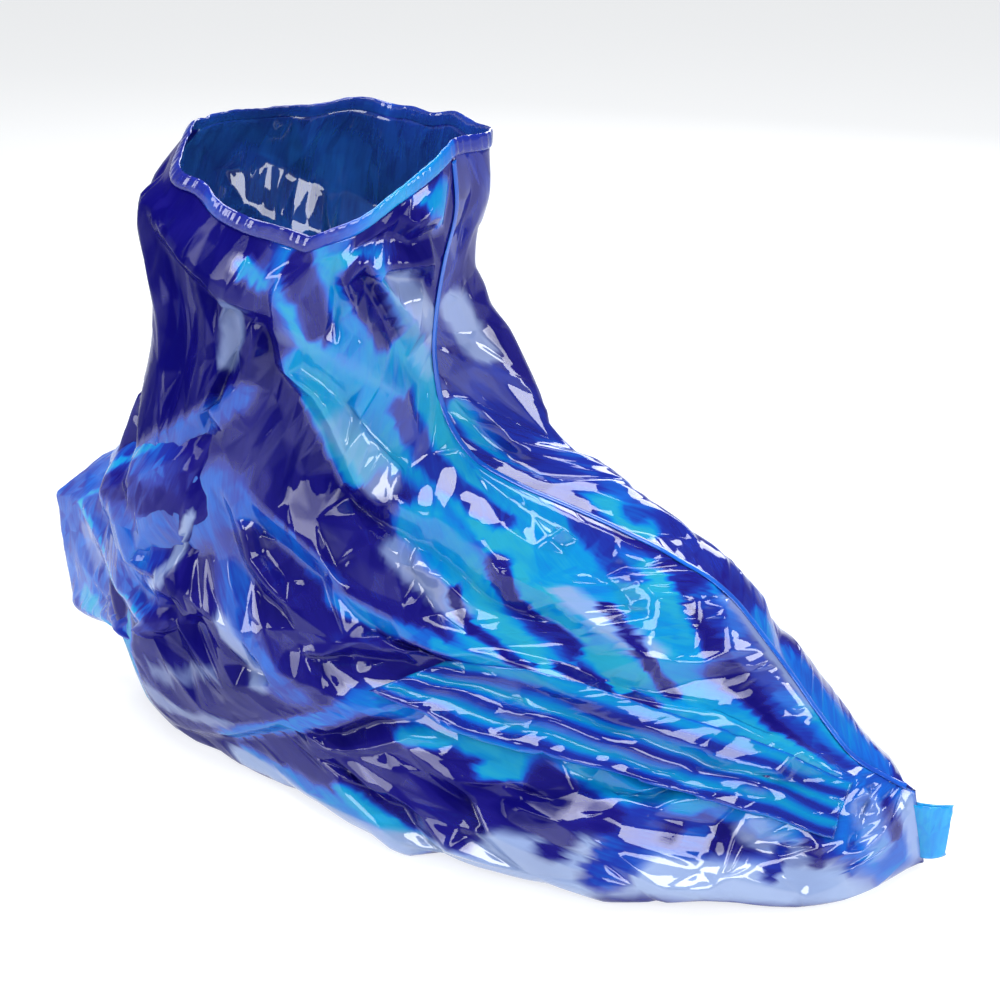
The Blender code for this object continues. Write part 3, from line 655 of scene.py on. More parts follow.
class SheetMap:
    """Finds places on a smooth sheet.

    A place is two shares, across the sheet, which runs round the cover, and down from its rim, or
    else the same two as flat metres.
    """

    def __init__(self, points: Array, turn: float = 1.0) -> None:
        """Measures the sheet.

        Args:
            points: The smooth form's grid.
            turn: 1 if the cross product of across and onward is outward, or else -1.
        """
        self.points = points
        across = np.gradient(points, axis=1)
        onward = np.gradient(points, axis=0)
        self.turn = turn
        self.normals = unit(np.cross(across, onward)) * turn
        self.girths = np.linalg.norm(np.diff(points, axis=1), axis=2).sum(1)
        middle = points[:, points.shape[1] // 3]
        steps = np.linalg.norm(np.diff(middle, axis=0), axis=1)
        self.runs = np.concatenate([[0.0], np.cumsum(steps)])
        self.rims = np.linspace(0.0, 1.0, len(points))

    def flat(self, loop: Array, rim: Array) -> Array:
        """Returns the places in flat metres, across and down the sheet."""
        across = (np.asarray(loop) - 0.5) * np.interp(rim, self.rims, self.girths)
        return np.stack([across, np.interp(rim, self.rims, self.runs)], -1)

    def shares(self, flat: Array) -> Arrays:
        """Returns the shares round the loop and down from the rim of flat places."""
        rim = np.interp(flat[..., 1], self.runs, self.rims)
        return flat[..., 0] / np.interp(rim, self.rims, self.girths) + 0.5, rim

    def at(self, loop: Array, rim: Array) -> Arrays:
        """Reads the form between its grid's points.

        Args:
            loop: Shares round the loop.
            rim: Shares down from the rim.

        Returns:
            The points on the form and its outward directions.
        """
        rows, columns = self.points.shape[:2]
        down = np.clip(np.asarray(rim, float), 0, 1) * (rows - 1)
        over = np.clip(np.asarray(loop, float), 0, 1) * (columns - 1)
        i = np.minimum(down.astype(int), rows - 2)
        j = np.minimum(over.astype(int), columns - 2)
        v, u = (down - i)[..., None], (over - j)[..., None]
        mixed = []
        for values in (self.points, self.normals):
            upper = values[i, j] * (1 - u) + values[i, j + 1] * u
            lower = values[i + 1, j] * (1 - u) + values[i + 1, j + 1] * u
            mixed.append(upper * (1 - v) + lower * v)
        return mixed[0], unit(mixed[1])


Sides = dict[Side, SheetMap]


class PictureChart:
    """Turns places in the picture into places on whichever sheet shows there."""

    same_spot: float = 3.0
    worse_spot: float = 4.0

    def __init__(self, camera: StudioCamera, sheets: Sequence[SheetMap]) -> None:
        """Projects the sheets into the picture.

        Args:
            camera: The camera that the picture was read with.
            sheets: The sheets that may show.
        """
        self.views = []
        eye = camera.axes()[0]
        for sheet in sheets:
            places, depth = camera.picture_places(sheet.points)
            faces_us = ((eye - sheet.points) * sheet.normals).sum(-1) > 0
            self.views.append((sheet, places, depth, faces_us))

    def find(self, across: float, down: float) -> tuple[SheetMap, float, float]:
        """Finds the nearest place on the film that shows at a point of the picture.

        Args:
            across: The point's place from the left.
            down: The point's place from the top.

        Returns:
            The sheet, the share across it and the share down it.
        """
        best = (math.inf, self.views[0][0], 0.0, 0.0)
        for sheet, places, depth, faces_us in self.views:
            off = np.hypot(places[..., 0] - across, places[..., 1] - down)
            off = np.where(faces_us, off, math.inf)
            near = off < off.min() + self.same_spot
            k = int(np.argmin(np.where(near, depth, math.inf)))
            i, j = divmod(k, depth.shape[1])
            score = round(float(off.min()) / self.worse_spot) + float(depth[i, j])
            if score < best[0]:
                best = (score, sheet, j / (depth.shape[1] - 1), i / (depth.shape[0] - 1))
        return best[1:]


@dataclass
class Skeleton:
    """Flat crease nodes with heights, the lines that stay creases, and the net through them."""

    nodes: list[Triple] = field(default_factory=list)
    lines: list[tuple[int, int]] = field(default_factory=list)

    def add_line(self, flat: Array, heights: Sequence[float], gap: float) -> None:
        """Adds a line of nodes, split so that none are further apart than the gap."""
        for k in range(len(flat) - 1):
            count = max(1, math.ceil(float(np.linalg.norm(flat[k + 1] - flat[k])) / gap))
            for share in np.linspace(0, 1, count + 1)[:-1]:
                place = flat[k] * (1 - share) + flat[k + 1] * share
                height = heights[k] * (1 - share) + heights[k + 1] * share
                self.nodes.append((place[0], place[1], height))
                self.lines.append((len(self.nodes) - 1, len(self.nodes)))
        self.nodes.append((flat[-1][0], flat[-1][1], heights[-1]))

    def net(self, stretch: float) -> Arrays:
        """Joins the nodes into triangles that keep the lines.

        Args:
            stretch: How much longer than wide the triangles are, down the sheet.

        Returns:
            The nodes with heights, and the triangles.
        """
        known = np.array(self.nodes)
        places = [Vector((x, y / stretch)) for x, y, _ in self.nodes]
        made, _, faces, origins, _, _ = geometry.delaunay_2d_cdt(places, self.lines, [], 0, 1e-6)
        nodes = np.array([(p.x, p.y * stretch, 0.0) for p in made])
        blank = np.array([not origin for origin in origins])
        for k, origin in enumerate(origins):
            if origin:
                nodes[k, 2] = known[origin[0], 2]
        triangles = np.array([face for face in faces if len(face) == 3])
        for k in np.flatnonzero(blank):
            around = np.unique(triangles[(triangles == k).any(1)])
            around = around[~blank[around]]
            if len(around):
                nodes[k, 2] = nodes[around, 2].mean()
        return nodes, triangles


def bordered(sheet: SheetMap, skeleton: Skeleton, gap: float) -> None:
    """Adds the sheet's four edges to a skeleton, as lines at no height."""
    count = math.ceil(sheet.runs[-1] / gap)
    rims = np.linspace(0, 1, count + 1)
    top = math.ceil(sheet.girths[0] / gap)
    toe = math.ceil(sheet.girths[-1] / gap) + 1
    for loop, rim in (
        (np.zeros(count + 1), rims),
        (np.ones(count + 1), rims),
        (np.linspace(0, 1, top + 1), np.zeros(top + 1)),
        (np.linspace(0, 1, toe + 1), np.ones(toe + 1)),
    ):
        skeleton.add_line(sheet.flat(loop, rim), [0.0] * len(loop), 1.0)


def inside(sheet: SheetMap, nodes: Array, triangles: Array) -> Array:
    """Keeps the triangles of real size that lie on the sheet."""
    centres = nodes[triangles].mean(1)
    loop, _ = sheet.shares(centres[:, :2])
    a, b, c = (nodes[triangles[:, k], :2] for k in range(3))
    area = np.cross(b - a, c - a)
    on_sheet = (loop > 0) & (loop < 1) & (centres[:, 1] > 0) & (centres[:, 1] < sheet.runs[-1])
    return triangles[on_sheet & (np.abs(area) > 1e-9)]


def edges(faces: Array) -> Arrays:
    """Returns the pairs of points that triangles join, and how many triangles share each pair."""
    pairs = np.concatenate([faces[:, [0, 1]], faces[:, [1, 2]], faces[:, [2, 0]]])
    return np.unique(np.sort(pairs, 1), axis=0, return_counts=True)


def near_sheet(rows: Sequence[Array], steps: int, row: int, column: int) -> SheetMap:
    """Makes a sheet from paths, with its outward side to the near side at one of its places.

    Args:
        rows: The paths across the sheet, from its rim on.
        steps: How many equal steps each path gets.
        row: The row of a place on the near side.
        column: The column of that place.

    Returns:
        The sheet.
    """
    grid = np.array([evenly(path, steps) for path in rows])
    sheet = SheetMap(grid)
    return sheet if sheet.normals[row, column, 0] < 0 else SheetMap(grid, -1.0)


@dataclass
class CrumpledSheet:
    """One piece of crumpled film: smooth form, charted creases, and smaller ones between them.

    The gaps and the quiet edges are metres and the lifts are mm. Stretch is how much longer than
    wide the random facets are, down the sheet.
    """

    name: str
    node: str
    seed: int
    creases: tuple[Fold, ...] = ()
    hidden: tuple[Fold, ...] = ()
    strokes: tuple[Stroke, ...] = ()
    patches: tuple[Stroke, ...] = ()
    coarse_gap: float = 0.019
    fine_gap: float = 0.0088
    border_gap: float = 0.010
    stretch: float = 1.7
    coarse_lift: float = 2.9
    fine_lift: float = 0.38
    split_share: float = 0.4
    lift_scale: float = 1.2
    loop_margin: float = 0.02
    rim_margin: float = 0.015
    jitter: float = 0.4
    nearest: float = 0.42
    density: float = 1.15
    corner_margin: float = 0.12
    cuts: int = 4
    flatness: float = 0.5
    easing: float = 0.35
    wall: float = 0.0003
    rim_quiet: float = 0.018
    toe_quiet: float = 0.040
    edge_quiet: float = 0.018
    base_tone: float = 0.16
    facet_share: float = 0.3
    uneven_tone: float = 0.07
    uneven_waves: Triple = (913.0, 377.0, 1291.0)
    inner_tone: float | None = None
    inner_reach: float = 0.20
    # Banding lays clear and dark bands round the sheet: painted light along the pleat's folds.
    banding: float = 0.0
    bands: float = 8.0
    held: str = "gathered"
    rests_on: tuple[str, ...] = ()
    slot: str = "film"

    def skeleton(self, sheet: SheetMap, chart: PictureChart) -> Skeleton:
        """Lays the charted creases on the sheet.

        Args:
            sheet: The smooth form.
            chart: Finds the places in the picture.

        Returns:
            A skeleton with the sheet's edges and its charted creases.
        """
        skeleton = Skeleton()
        bordered(sheet, skeleton, min(self.border_gap, self.fine_gap * 1.2))
        for fold in self.creases:
            run: list[Triple] = []
            for x, y, height in fold:
                found, loop, rim = chart.find(x, y)
                if found is sheet:
                    run.append((loop, rim, height))
                    continue
                self.lay(sheet, skeleton, run)
                run = []
            self.lay(sheet, skeleton, run)
        for fold in self.hidden:
            self.lay(sheet, skeleton, list(fold))
        return skeleton

    def lay(self, sheet: SheetMap, skeleton: Skeleton, run: list[Triple]) -> None:
        """Adds one crease to the skeleton, if it has two points or more on this sheet."""
        if len(run) < 2:
            return
        loop, rim, height = np.array(run).T
        loop = np.clip(loop, self.loop_margin, 1 - self.loop_margin)
        places = sheet.flat(loop, np.clip(rim, self.rim_margin, 1 - self.rim_margin))
        skeleton.add_line(places, list(height * MM * self.lift_scale), self.fine_gap)

    def scatter(self, sheet: SheetMap, skeleton: Skeleton, rng: np.random.Generator) -> None:
        """Adds crease nodes between the charted ones, at uneven heights."""
        widest = sheet.girths.max()
        xs = np.arange(-widest / 2, widest / 2, self.coarse_gap)
        ys = np.arange(0.0, sheet.runs[-1], self.coarse_gap * self.stretch)
        x, y = (axis.ravel() for axis in np.meshgrid(xs, ys))
        x = x + rng.uniform(-self.jitter, self.jitter, len(x)) * self.coarse_gap
        y = y + rng.uniform(-self.jitter, self.jitter, len(y)) * self.coarse_gap * self.stretch
        lifts = rng.normal(0.0, self.coarse_lift * MM, len(x))
        known = np.array(skeleton.nodes)[:, :2] / (1.0, self.stretch)
        for place_x, place_y, lift in zip(x, y, lifts):
            loop, _ = sheet.shares(np.array([place_x, place_y]))
            across = LOOP_EDGE < loop < 1 - LOOP_EDGE
            if not (across and RIM_EDGE < place_y < sheet.runs[-1] - RIM_EDGE):
                continue
            away = np.hypot(known[:, 0] - place_x, known[:, 1] - place_y / self.stretch)
            if away.min() > self.nearest * self.coarse_gap:
                skeleton.nodes.append((place_x, place_y, lift))

    def refined(
        self, nodes: Array, triangles: Array, rng: np.random.Generator
    ) -> Skeleton:
        """Splits the coarse net into smaller facets that keep all its creases.

        Args:
            nodes: The coarse net's nodes.
            triangles: The coarse net's triangles.
            rng: The sheet's seeded generator.

        Returns:
            The finer skeleton.
        """
        skeleton = Skeleton(nodes=[tuple(node) for node in nodes])
        pairs, uses = edges(triangles)
        for (a, b), shared in zip(pairs, uses > 1):
            span = (nodes[b] - nodes[a]) / (1, self.stretch, 1)
            count = max(1, round(float(np.linalg.norm(span[:2])) / self.fine_gap))
            last = int(a)
            for share in np.arange(1, count) / count:
                place = nodes[a] * (1 - share) + nodes[b] * share
                spread = self.split_share * self.fine_lift * MM
                lift = rng.normal(0.0, spread) * shared
                skeleton.nodes.append((place[0], place[1], place[2] + lift))
                skeleton.lines.append((last, len(skeleton.nodes) - 1))
                last = len(skeleton.nodes) - 1
            skeleton.lines.append((last, int(b)))
        corners = nodes[triangles]
        flat = corners[..., :2] / (1.0, self.stretch)
        areas = np.abs(np.cross(flat[:, 1] - flat[:, 0], flat[:, 2] - flat[:, 0])) / 2
        for corner, area in zip(corners, areas):
            count = int(area / self.fine_gap**2 * self.density + rng.random())
            start = rng.random(2)
            for k in range(count):
                u, v = (start + k * EVEN_STEP) % 1.0
                if u + v > 1:
                    u, v = 1 - u, 1 - v
                if min(u, v, 1 - u - v) < self.corner_margin:
                    continue
                place = corner[0] * (1 - u - v) + corner[1] * u + corner[2] * v
                lift = rng.normal(0.0, self.fine_lift * MM)
                skeleton.nodes.append((place[0], place[1], place[2] + lift))
        return skeleton

    def quiet(self, sheet: SheetMap, flat: Array) -> Array:
        """Returns how freely the film may crumple at flat places, from 0 at its edges to 1."""
        loop, rim = sheet.shares(flat)
        girth = np.interp(rim, sheet.rims, sheet.girths)
        free = ramp(loop * girth / self.edge_quiet) * ramp((1 - loop) * girth / self.edge_quiet)
        down = np.interp(rim, sheet.rims, sheet.runs)
        return free * ramp(down / self.rim_quiet) * ramp((sheet.runs[-1] - down) / self.toe_quiet)

    def surface(
        self, sheet: SheetMap, nodes: Array, triangles: Array
    ) -> tuple[Array, Array, Array, Array]:
        """Cuts every facet into small triangles and bends them over the form.

        Args:
            sheet: The smooth form.
            nodes: The fine net's nodes.
            triangles: The fine net's triangles.

        Returns:
            The points in the frame, their flat places, the middles of their facets, and the small
            triangles.
        """
        n = self.cuts
        spots = [(a, b) for a in range(n + 1) for b in range(n + 1 - a)]
        order = {spot: k for k, spot in enumerate(spots)}
        weights = np.array([(n - a - b, a, b) for a, b in spots]) / n
        small = []
        for a, b in spots:
            if a + b < n:
                small.append((order[a, b], order[a + 1, b], order[a, b + 1]))
            if a + b < n - 1:
                small.append((order[a + 1, b], order[a + 1, b + 1], order[a, b + 1]))
        stood = nodes[:, 2] * self.quiet(sheet, nodes[:, :2])
        points, outward = sheet.at(*sheet.shares(nodes[:, :2]))
        corners = points + outward * stood[:, None]
        flat = np.einsum("kc,tcd->tkd", weights, nodes[triangles][..., :2]).reshape(-1, 2)
        facet = np.einsum("kc,tcd->tkd", weights, corners[triangles]).reshape(-1, 3)
        height = np.einsum("kc,tc->tk", weights, stood[triangles]).reshape(-1)
        middle = np.repeat(nodes[triangles][..., :2].mean(1), len(spots), axis=0)
        keys = np.round(flat / SAME_PLACE).astype(np.int64)
        _, first, index = np.unique(keys, axis=0, return_index=True, return_inverse=True)
        index = index.reshape(len(triangles), len(spots))
        flat, facet, height, middle = flat[first], facet[first], height[first], middle[first]
        faces = index[:, np.array(small)].reshape(-1, 3)
        a, b, c = faces.T
        faces = faces[(a != b) & (b != c) & (c != a)]
        points, outward = sheet.at(*sheet.shares(flat))
        bent = points + outward * height[:, None]
        placed = bent * (1 - self.flatness) + facet * self.flatness
        edge = self.border(faces)
        placed[edge] = points[edge]
        return self.eased(placed, faces, edge), flat, middle, faces

    @staticmethod
    def border(faces: Array) -> Array:
        """Returns the vertices on the open edge of a set of triangles."""
        pairs, uses = edges(faces)
        return np.unique(pairs[uses == 1])

    def eased(self, points: Array, faces: Array, edge: Array) -> Array:
        """Rounds the creases a little, and leaves the sheet's edge where it is."""
        pairs, _ = edges(faces)
        total = np.zeros_like(points)
        count = np.zeros(len(points))
        for a, b in (pairs.T, pairs.T[::-1]):
            np.add.at(total, a, points[b])
            np.add.at(count, a, 1)
        mean = total / np.maximum(count, 1)[:, None]
        eased = points * (1 - self.easing) + mean * self.easing
        eased[edge] = points[edge]
        return eased

    def paths(self, sheet: SheetMap, chart: PictureChart) -> Iterator[tuple[Stroke, list[Array]]]:
        """Lays the strokes and then the patches on the sheet.

        Args:
            sheet: The smooth form.
            chart: Finds the places in the picture.

        Yields:
            Each stroke, and the flat places of those of its points that are on this sheet.
        """
        for stroke in self.strokes:
            placed = [chart.find(x, y) for x, y in stroke.points]
            yield stroke, [sheet.flat(loop, rim) for found, loop, rim in placed if found is sheet]
        for patch in self.patches:
            yield patch, [sheet.flat(loop, rim) for loop, rim in patch.points]

    def tones(
        self, sheet: SheetMap, chart: PictureChart, flat: Array
    ) -> Arrays:
        """Reads how much light the film lets through at each of its points.

        Args:
            sheet: The smooth form.
            chart: Finds the places in the picture.
            flat: The points' flat places.

        Returns:
            The tones, from 0, deep indigo, to 1, clear bright blue, which is painted light through
            the film, and how much painted reflection or highlight each point has.
        """
        tones = np.full(len(flat), self.base_tone)
        milk = np.zeros(len(flat))
        for stroke, path in self.paths(sheet, chart):
            if len(path) < 2:
                continue
            away = np.full(len(flat), math.inf)
            for start, end in zip(path, path[1:]):
                along = end - start
                share = np.clip((flat - start) @ along / max(along @ along, 1e-9), 0, 1)
                off = np.linalg.norm(flat - start - share[:, None] * along, axis=1)
                away = np.minimum(away, off)
            cover = stroke.strength * ramp((STROKE_RIM - away / (stroke.width * MM)) / STROKE_FADE)
            milk = milk * (1 - cover) + stroke.milk * cover
            if not stroke.milk:
                tones = tones * (1 - cover) + stroke.tone * cover
        loop, _ = sheet.shares(flat)
        tones = tones + self.banding * np.sin(loop * math.pi * self.bands)
        if self.inner_tone is not None:
            share = ramp(INNER_RIM - loop / self.inner_reach)
            tones = tones * (1 - share) + self.inner_tone * share
        return tones, milk

    def settled(self, points: Array) -> Array:
        """Keeps the film on its own side of what it must not pass."""
        points[:, 2] = np.maximum(points[:, 2], FLOOR_HEIGHT + self.wall)
        return points

    def build(self, sheet: SheetMap, chart: PictureChart, finish: "FilmFinish") -> bpy.types.Object:
        """Builds the piece and lets it stand for its solid.

        Args:
            sheet: The smooth form.
            chart: Finds the places in the picture.
            finish: The film's finish.

        Returns:
            The piece.
        """
        rng = np.random.default_rng(self.seed)
        skeleton = self.skeleton(sheet, chart)
        self.scatter(sheet, skeleton, rng)
        nodes, triangles = skeleton.net(self.stretch)
        skeleton = self.refined(nodes, inside(sheet, nodes, triangles), rng)
        nodes, triangles = skeleton.net(self.stretch)
        triangles = inside(sheet, nodes, triangles)
        points, flat, middle, faces = self.surface(sheet, nodes, triangles)
        points = self.settled(points)
        if sheet.turn < 0:
            faces = faces[:, ::-1]
        piece = film_object(self.name, points, faces, finish.material(), self.wall)
        toned = flat * (1 - self.facet_share) + middle * self.facet_share
        first, second, third = self.uneven_waves
        uneven = np.sin(middle[:, 0] * first + middle[:, 1] * second) * np.sin(middle[:, 1] * third)
        tones, milk = self.tones(sheet, chart, toned)
        store_tone(piece, tones + self.uneven_tone * uneven)
        store_tone(piece, milk, PAINTED_REFLECTION)
        store_map(piece, flat)
        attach(piece, BODY)
        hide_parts(self.node)
        area = flat_area(flat, faces)
        size = (float(sheet.girths.max()), float(sheet.runs[-1]))
        area = min(max(area, LEAST_AREA * size[0] * size[1]), size[0] * size[1])
        list(self.rests_on)
        counts = len(triangles), len(faces)
        LOG.info("%s: %d facets, %d triangles, %.4f m2", self.name, *counts, area)
        return piece


@dataclass
class FilmPanel(CrumpledSheet):
    """One side panel of the bag, from the collar to the toe."""

    side: Side = Side.RIGHT
    plane_gap: float = 0.0003
    rests_on: tuple[str, ...] = ("floor",)

    def settled(self, points: Array) -> Array:
        """Keeps the panel on its own side of the middle plane and above the floor."""
        sign = self.side.value
        points[:, 0] = sign * np.maximum(points[:, 0] * sign, self.plane_gap)
        return super().settled(points)


def flat_area(flat: Array, faces: Array) -> float:
    """Returns the area that the triangles have in flat metres."""
    a, b, c = (flat[faces[:, k]] for k in range(3))
    return float(np.abs(np.cross(b - a, c - a)).sum() / 2)


class FilmSurface:
    """The finished panels, as a surface that other pieces can lie on."""

    def __init__(self, panels: Sequence[bpy.types.Object]) -> None:
        """Gathers the panels' outer faces.

        Args:
            panels: The two panels.
        """
        points: list[Vector] = []
        faces: list[tuple[int, ...]] = []
        for panel in panels:
            start = len(points)
            points += [vertex.co for vertex in panel.data.vertices]
            faces += [tuple(start + k for k in face.vertices) for face in panel.data.polygons]
        self.tree = BVHTree.FromPolygons(points, faces)

    def raised(
        self, points: Array, outward: Array, lift: Any, reach: float = 0.02
    ) -> Array:
        """Lays points on the film.

        Args:
            points: Places near the film.
            outward: The outward directions there.
            lift: How far above the film each point goes.
            reach: How far off the film is looked for.

        Returns:
            The points on the film, or where they were if there is no film near them.
        """
        out = np.array(points, float)
        lift = np.broadcast_to(lift, out.shape[:-1])
        for k in np.ndindex(out.shape[:-1]):
            away = Vector(outward[k])
            hit = self.tree.ray_cast(Vector(out[k]) + away * reach, -away, 2 * reach)[0]
            if hit is not None:
                out[k] = hit + away * float(lift[k])
        return out

    def clear(
        self, points: Array, outward: Array, gap: Any, reach: float = 0.02
    ) -> Array:
        """Pushes points out of the film where they lie under it, and leaves the others."""
        on_film = self.raised(points, outward, gap, reach)
        under = ((on_film - points) * outward).sum(-1) > 0
        return np.where(under[..., None], on_film, points)


@dataclass
class CollarHem:
    """The welded band round the opening: a flattened tube, puckered unevenly."""

    name: str = "collar_band"
    node: str = "collar_hem"
    stations: int = 520
    round_steps: int = 14
    half_height: float = 0.0040
    half_wall: float = 0.0008
    centre: float = 0.0033
    seat: float = 0.0003
    pucker: float = 0.0007
    pinch: float = 0.0004
    pinches: int = 47
    lean: float = 0.0011
    waves: tuple[int, ...] = (5, 9, 14, 23, 37, 58, 83)
    base_tone: float = 0.34
    front_tone: float = 0.40
    uneven_tone: float = 0.05
    flat_width: float = 0.010
    flat_share: float = 0.83
    seed: int = 5

    def build(self, maps: Sides, finish: "FilmFinish") -> bpy.types.Object:
        """Builds the band round both rims.

        Args:
            maps: The two sides.
            finish: The band's finish.

        Returns:
            The band.
        """
        share = np.linspace(0, 1, self.stations // 2, endpoint=False)
        rims, outs, falls = [], [], []
        for side, loops in ((Side.RIGHT, share), (Side.LEFT, 1 - share)):
            rim, out = maps[side].at(loops, np.zeros_like(loops))
            below, _ = maps[side].at(loops, np.full_like(loops, 0.02))
            rims.append(rim)
            outs.append(out)
            falls.append(unit(rim - below))
        rim, out, up = (np.concatenate(parts) for parts in (rims, outs, falls))
        out, up = (ring_eased(directions, 6) for directions in (out, up))
        rng = np.random.default_rng(self.seed)
        turn = np.linspace(0, 2 * math.pi, len(rim), endpoint=False)
        wave = np.zeros(len(rim))
        lean = np.zeros(len(rim))
        for count in self.waves:
            wave += np.sin(turn * count + rng.uniform(0, 2 * math.pi)) / math.sqrt(count)
            lean += np.sin(turn * count + rng.uniform(0, 2 * math.pi)) / count
        pinch = np.abs(np.sin(turn * self.pinches + wave * 2.5))
        angles = np.linspace(0, 2 * math.pi, self.round_steps, endpoint=False)
        rings = []
        for angle in angles:
            outwards = math.cos(angle) * (self.half_wall + self.pinch * pinch)
            height = np.sign(math.sin(angle)) * abs(math.sin(angle)) ** 0.7
            rise = self.centre + self.half_height * height + self.lean * lean
            bulge = wave * self.pucker * (0.6 + 0.5 * math.sin(angle))
            rings.append(rim + out * (outwards + bulge + self.seat)[:, None] + up * rise[:, None])
        grid = np.array(rings)
        faces = strip_faces(len(rings), len(rim), closed=True, tube=True)
        piece = film_object(self.name, grid.reshape(-1, 3), faces, finish.material(), 0.0)
        outward_faces(piece)
        across = np.repeat(np.linspace(0, 0.018, len(rings)), len(rim))
        along = np.tile(np.linspace(0, 0.6, len(rim)), len(rings))
        store_map(piece, np.stack([across, along], -1))
        # The band is painted clearer blue at the front right: painted light on the rim there.
        front_right = ramp(1.2 - np.abs(np.linspace(0, 1, len(rim)) - 0.07) / 0.10)
        tones = self.base_tone + self.front_tone * front_right + self.uneven_tone * wave
        store_tone(piece, np.tile(tones, len(rings)))
        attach(piece, BODY)
        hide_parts(self.node)
        length = float(np.linalg.norm(np.diff(rim, axis=0), axis=1).sum())
        LOG.info("%s: %d quads", self.name, len(faces))
        return piece


def ring_eased(values: Array, rounds: int) -> Array:
    """Smooths directions along a closed ring."""
    for _ in range(rounds):
        values = unit(values + np.roll(values, 1, 0) + np.roll(values, -1, 0))
    return values


def outward_faces(piece: bpy.types.Object) -> None:
    """Turns the faces of a closed piece outward."""
    mesh = bmesh.new()
    mesh.from_mesh(piece.data)
    bmesh.ops.recalc_face_normals(mesh, faces=mesh.faces[:])
    mesh.to_mesh(piece.data)
    mesh.free()


@dataclass
class WeldRibs:
    """The crimp ribs that the heated jaws press into a weld, made with Geometry Nodes."""

    spacing: float = 0.0026
    size: Triple = (0.0020, 0.00055, 0.00045)
    unevenness: float = 0.18
    seed: int = 3

    def tree(self, material: bpy.types.Material) -> bpy.types.NodeTree:
        """Builds the node group.

        Args:
            material: What the ribs are made of.

        Returns:
            The node group.
        """
        tree = bpy.data.node_groups.new("weld_ribs", "GeometryNodeTree")
        tree.interface.new_socket("Line", in_out="INPUT", socket_type="NodeSocketGeometry")
        for name, kind, value in (
            ("Spacing", "NodeSocketFloat", self.spacing),
            ("Size", "NodeSocketVector", self.size),
            ("Unevenness", "NodeSocketFloat", self.unevenness),
            ("Seed", "NodeSocketInt", self.seed),
        ):
            tree.interface.new_socket(name, in_out="INPUT", socket_type=kind).default_value = value
        tree.interface.new_socket("Ribs", in_out="OUTPUT", socket_type="NodeSocketGeometry")
        graph = Graph(tree)
        add = graph.node
        given = add("NodeGroupInput", {}, {}).outputs
        curve = add("GeometryNodeMeshToCurve", {}, {"Mesh": given["Line"]})
        lengths = {"Curve": curve.outputs[0], "Length": given["Spacing"]}
        spaced = add("GeometryNodeResampleCurve", {"mode": "LENGTH"}, lengths)
        named = {"Name": "weld_out"}
        out = add("GeometryNodeInputNamedAttribute", {"data_type": "FLOAT_VECTOR"}, named)
        along = add("GeometryNodeInputTangent", {}, {})
        turn = add(
            "FunctionNodeAxesToRotation",
            {"primary_axis": "Z", "secondary_axis": "Y"},
            {"Primary Axis": out.outputs[0], "Secondary Axis": along.outputs[0]},
        )
        least = graph.math("SUBTRACT", 1.0, given["Unevenness"])
        span = {"Min": least, "Max": 1.0, "Seed": given["Seed"]}
        grow = add("FunctionNodeRandomValue", {"data_type": "FLOAT"}, span)
        sizes = {0: given["Size"], "Scale": grow.outputs[1]}
        scale = add("ShaderNodeVectorMath", {"operation": "SCALE"}, sizes)
        rib = add("GeometryNodeMeshUVSphere", {}, {"Segments": 8, "Rings": 6, "Radius": 1.0})
        placed = {
            "Points": spaced.outputs[0],
            "Instance": rib.outputs[0],
            "Rotation": turn.outputs[0],
            "Scale": scale.outputs[0],
        }
        copies = add("GeometryNodeInstanceOnPoints", {}, placed)
        real = add("GeometryNodeRealizeInstances", {}, {"Geometry": copies.outputs[0]})
        dress = {"Geometry": real.outputs[0], "Material": material}
        dressed = add("GeometryNodeSetMaterial", {}, dress)
        add("NodeGroupOutput", {}, {"Ribs": dressed.outputs[0]})
        return tree

    def mesh(self, line: Array, out: Array, material: bpy.types.Material) -> bpy.types.Mesh:
        """Makes the ribs along a line.

        Args:
            line: The line's points.
            out: The outward directions there.
            material: What the ribs are made of.

        Returns:
            The ribs as a plain mesh.
        """
        path = bpy.data.meshes.new("weld_line")
        path.from_pydata(line.tolist(), [(k, k + 1) for k in range(len(line) - 1)], [])
        layer = path.attributes.new("weld_out", "FLOAT_VECTOR", "POINT")
        layer.data.foreach_set("vector", out.astype(np.float32).ravel())
        carrier = bpy.data.objects.new("weld_line", path)
        bpy.context.scene.collection.objects.link(carrier)
        modifier = carrier.modifiers.new("ribs", "NODES")
        modifier.node_group = self.tree(material)
        for item in modifier.node_group.interface.items_tree:
            if item.in_out == "INPUT" and item.socket_type != "NodeSocketGeometry":
                modifier[item.identifier] = item.default_value
        state = bpy.context.evaluated_depsgraph_get()
        ribs = bpy.data.meshes.new_from_object(carrier.evaluated_get(state))
        carrier.modifiers.clear()
        bpy.data.objects.remove(carrier)
        return ribs


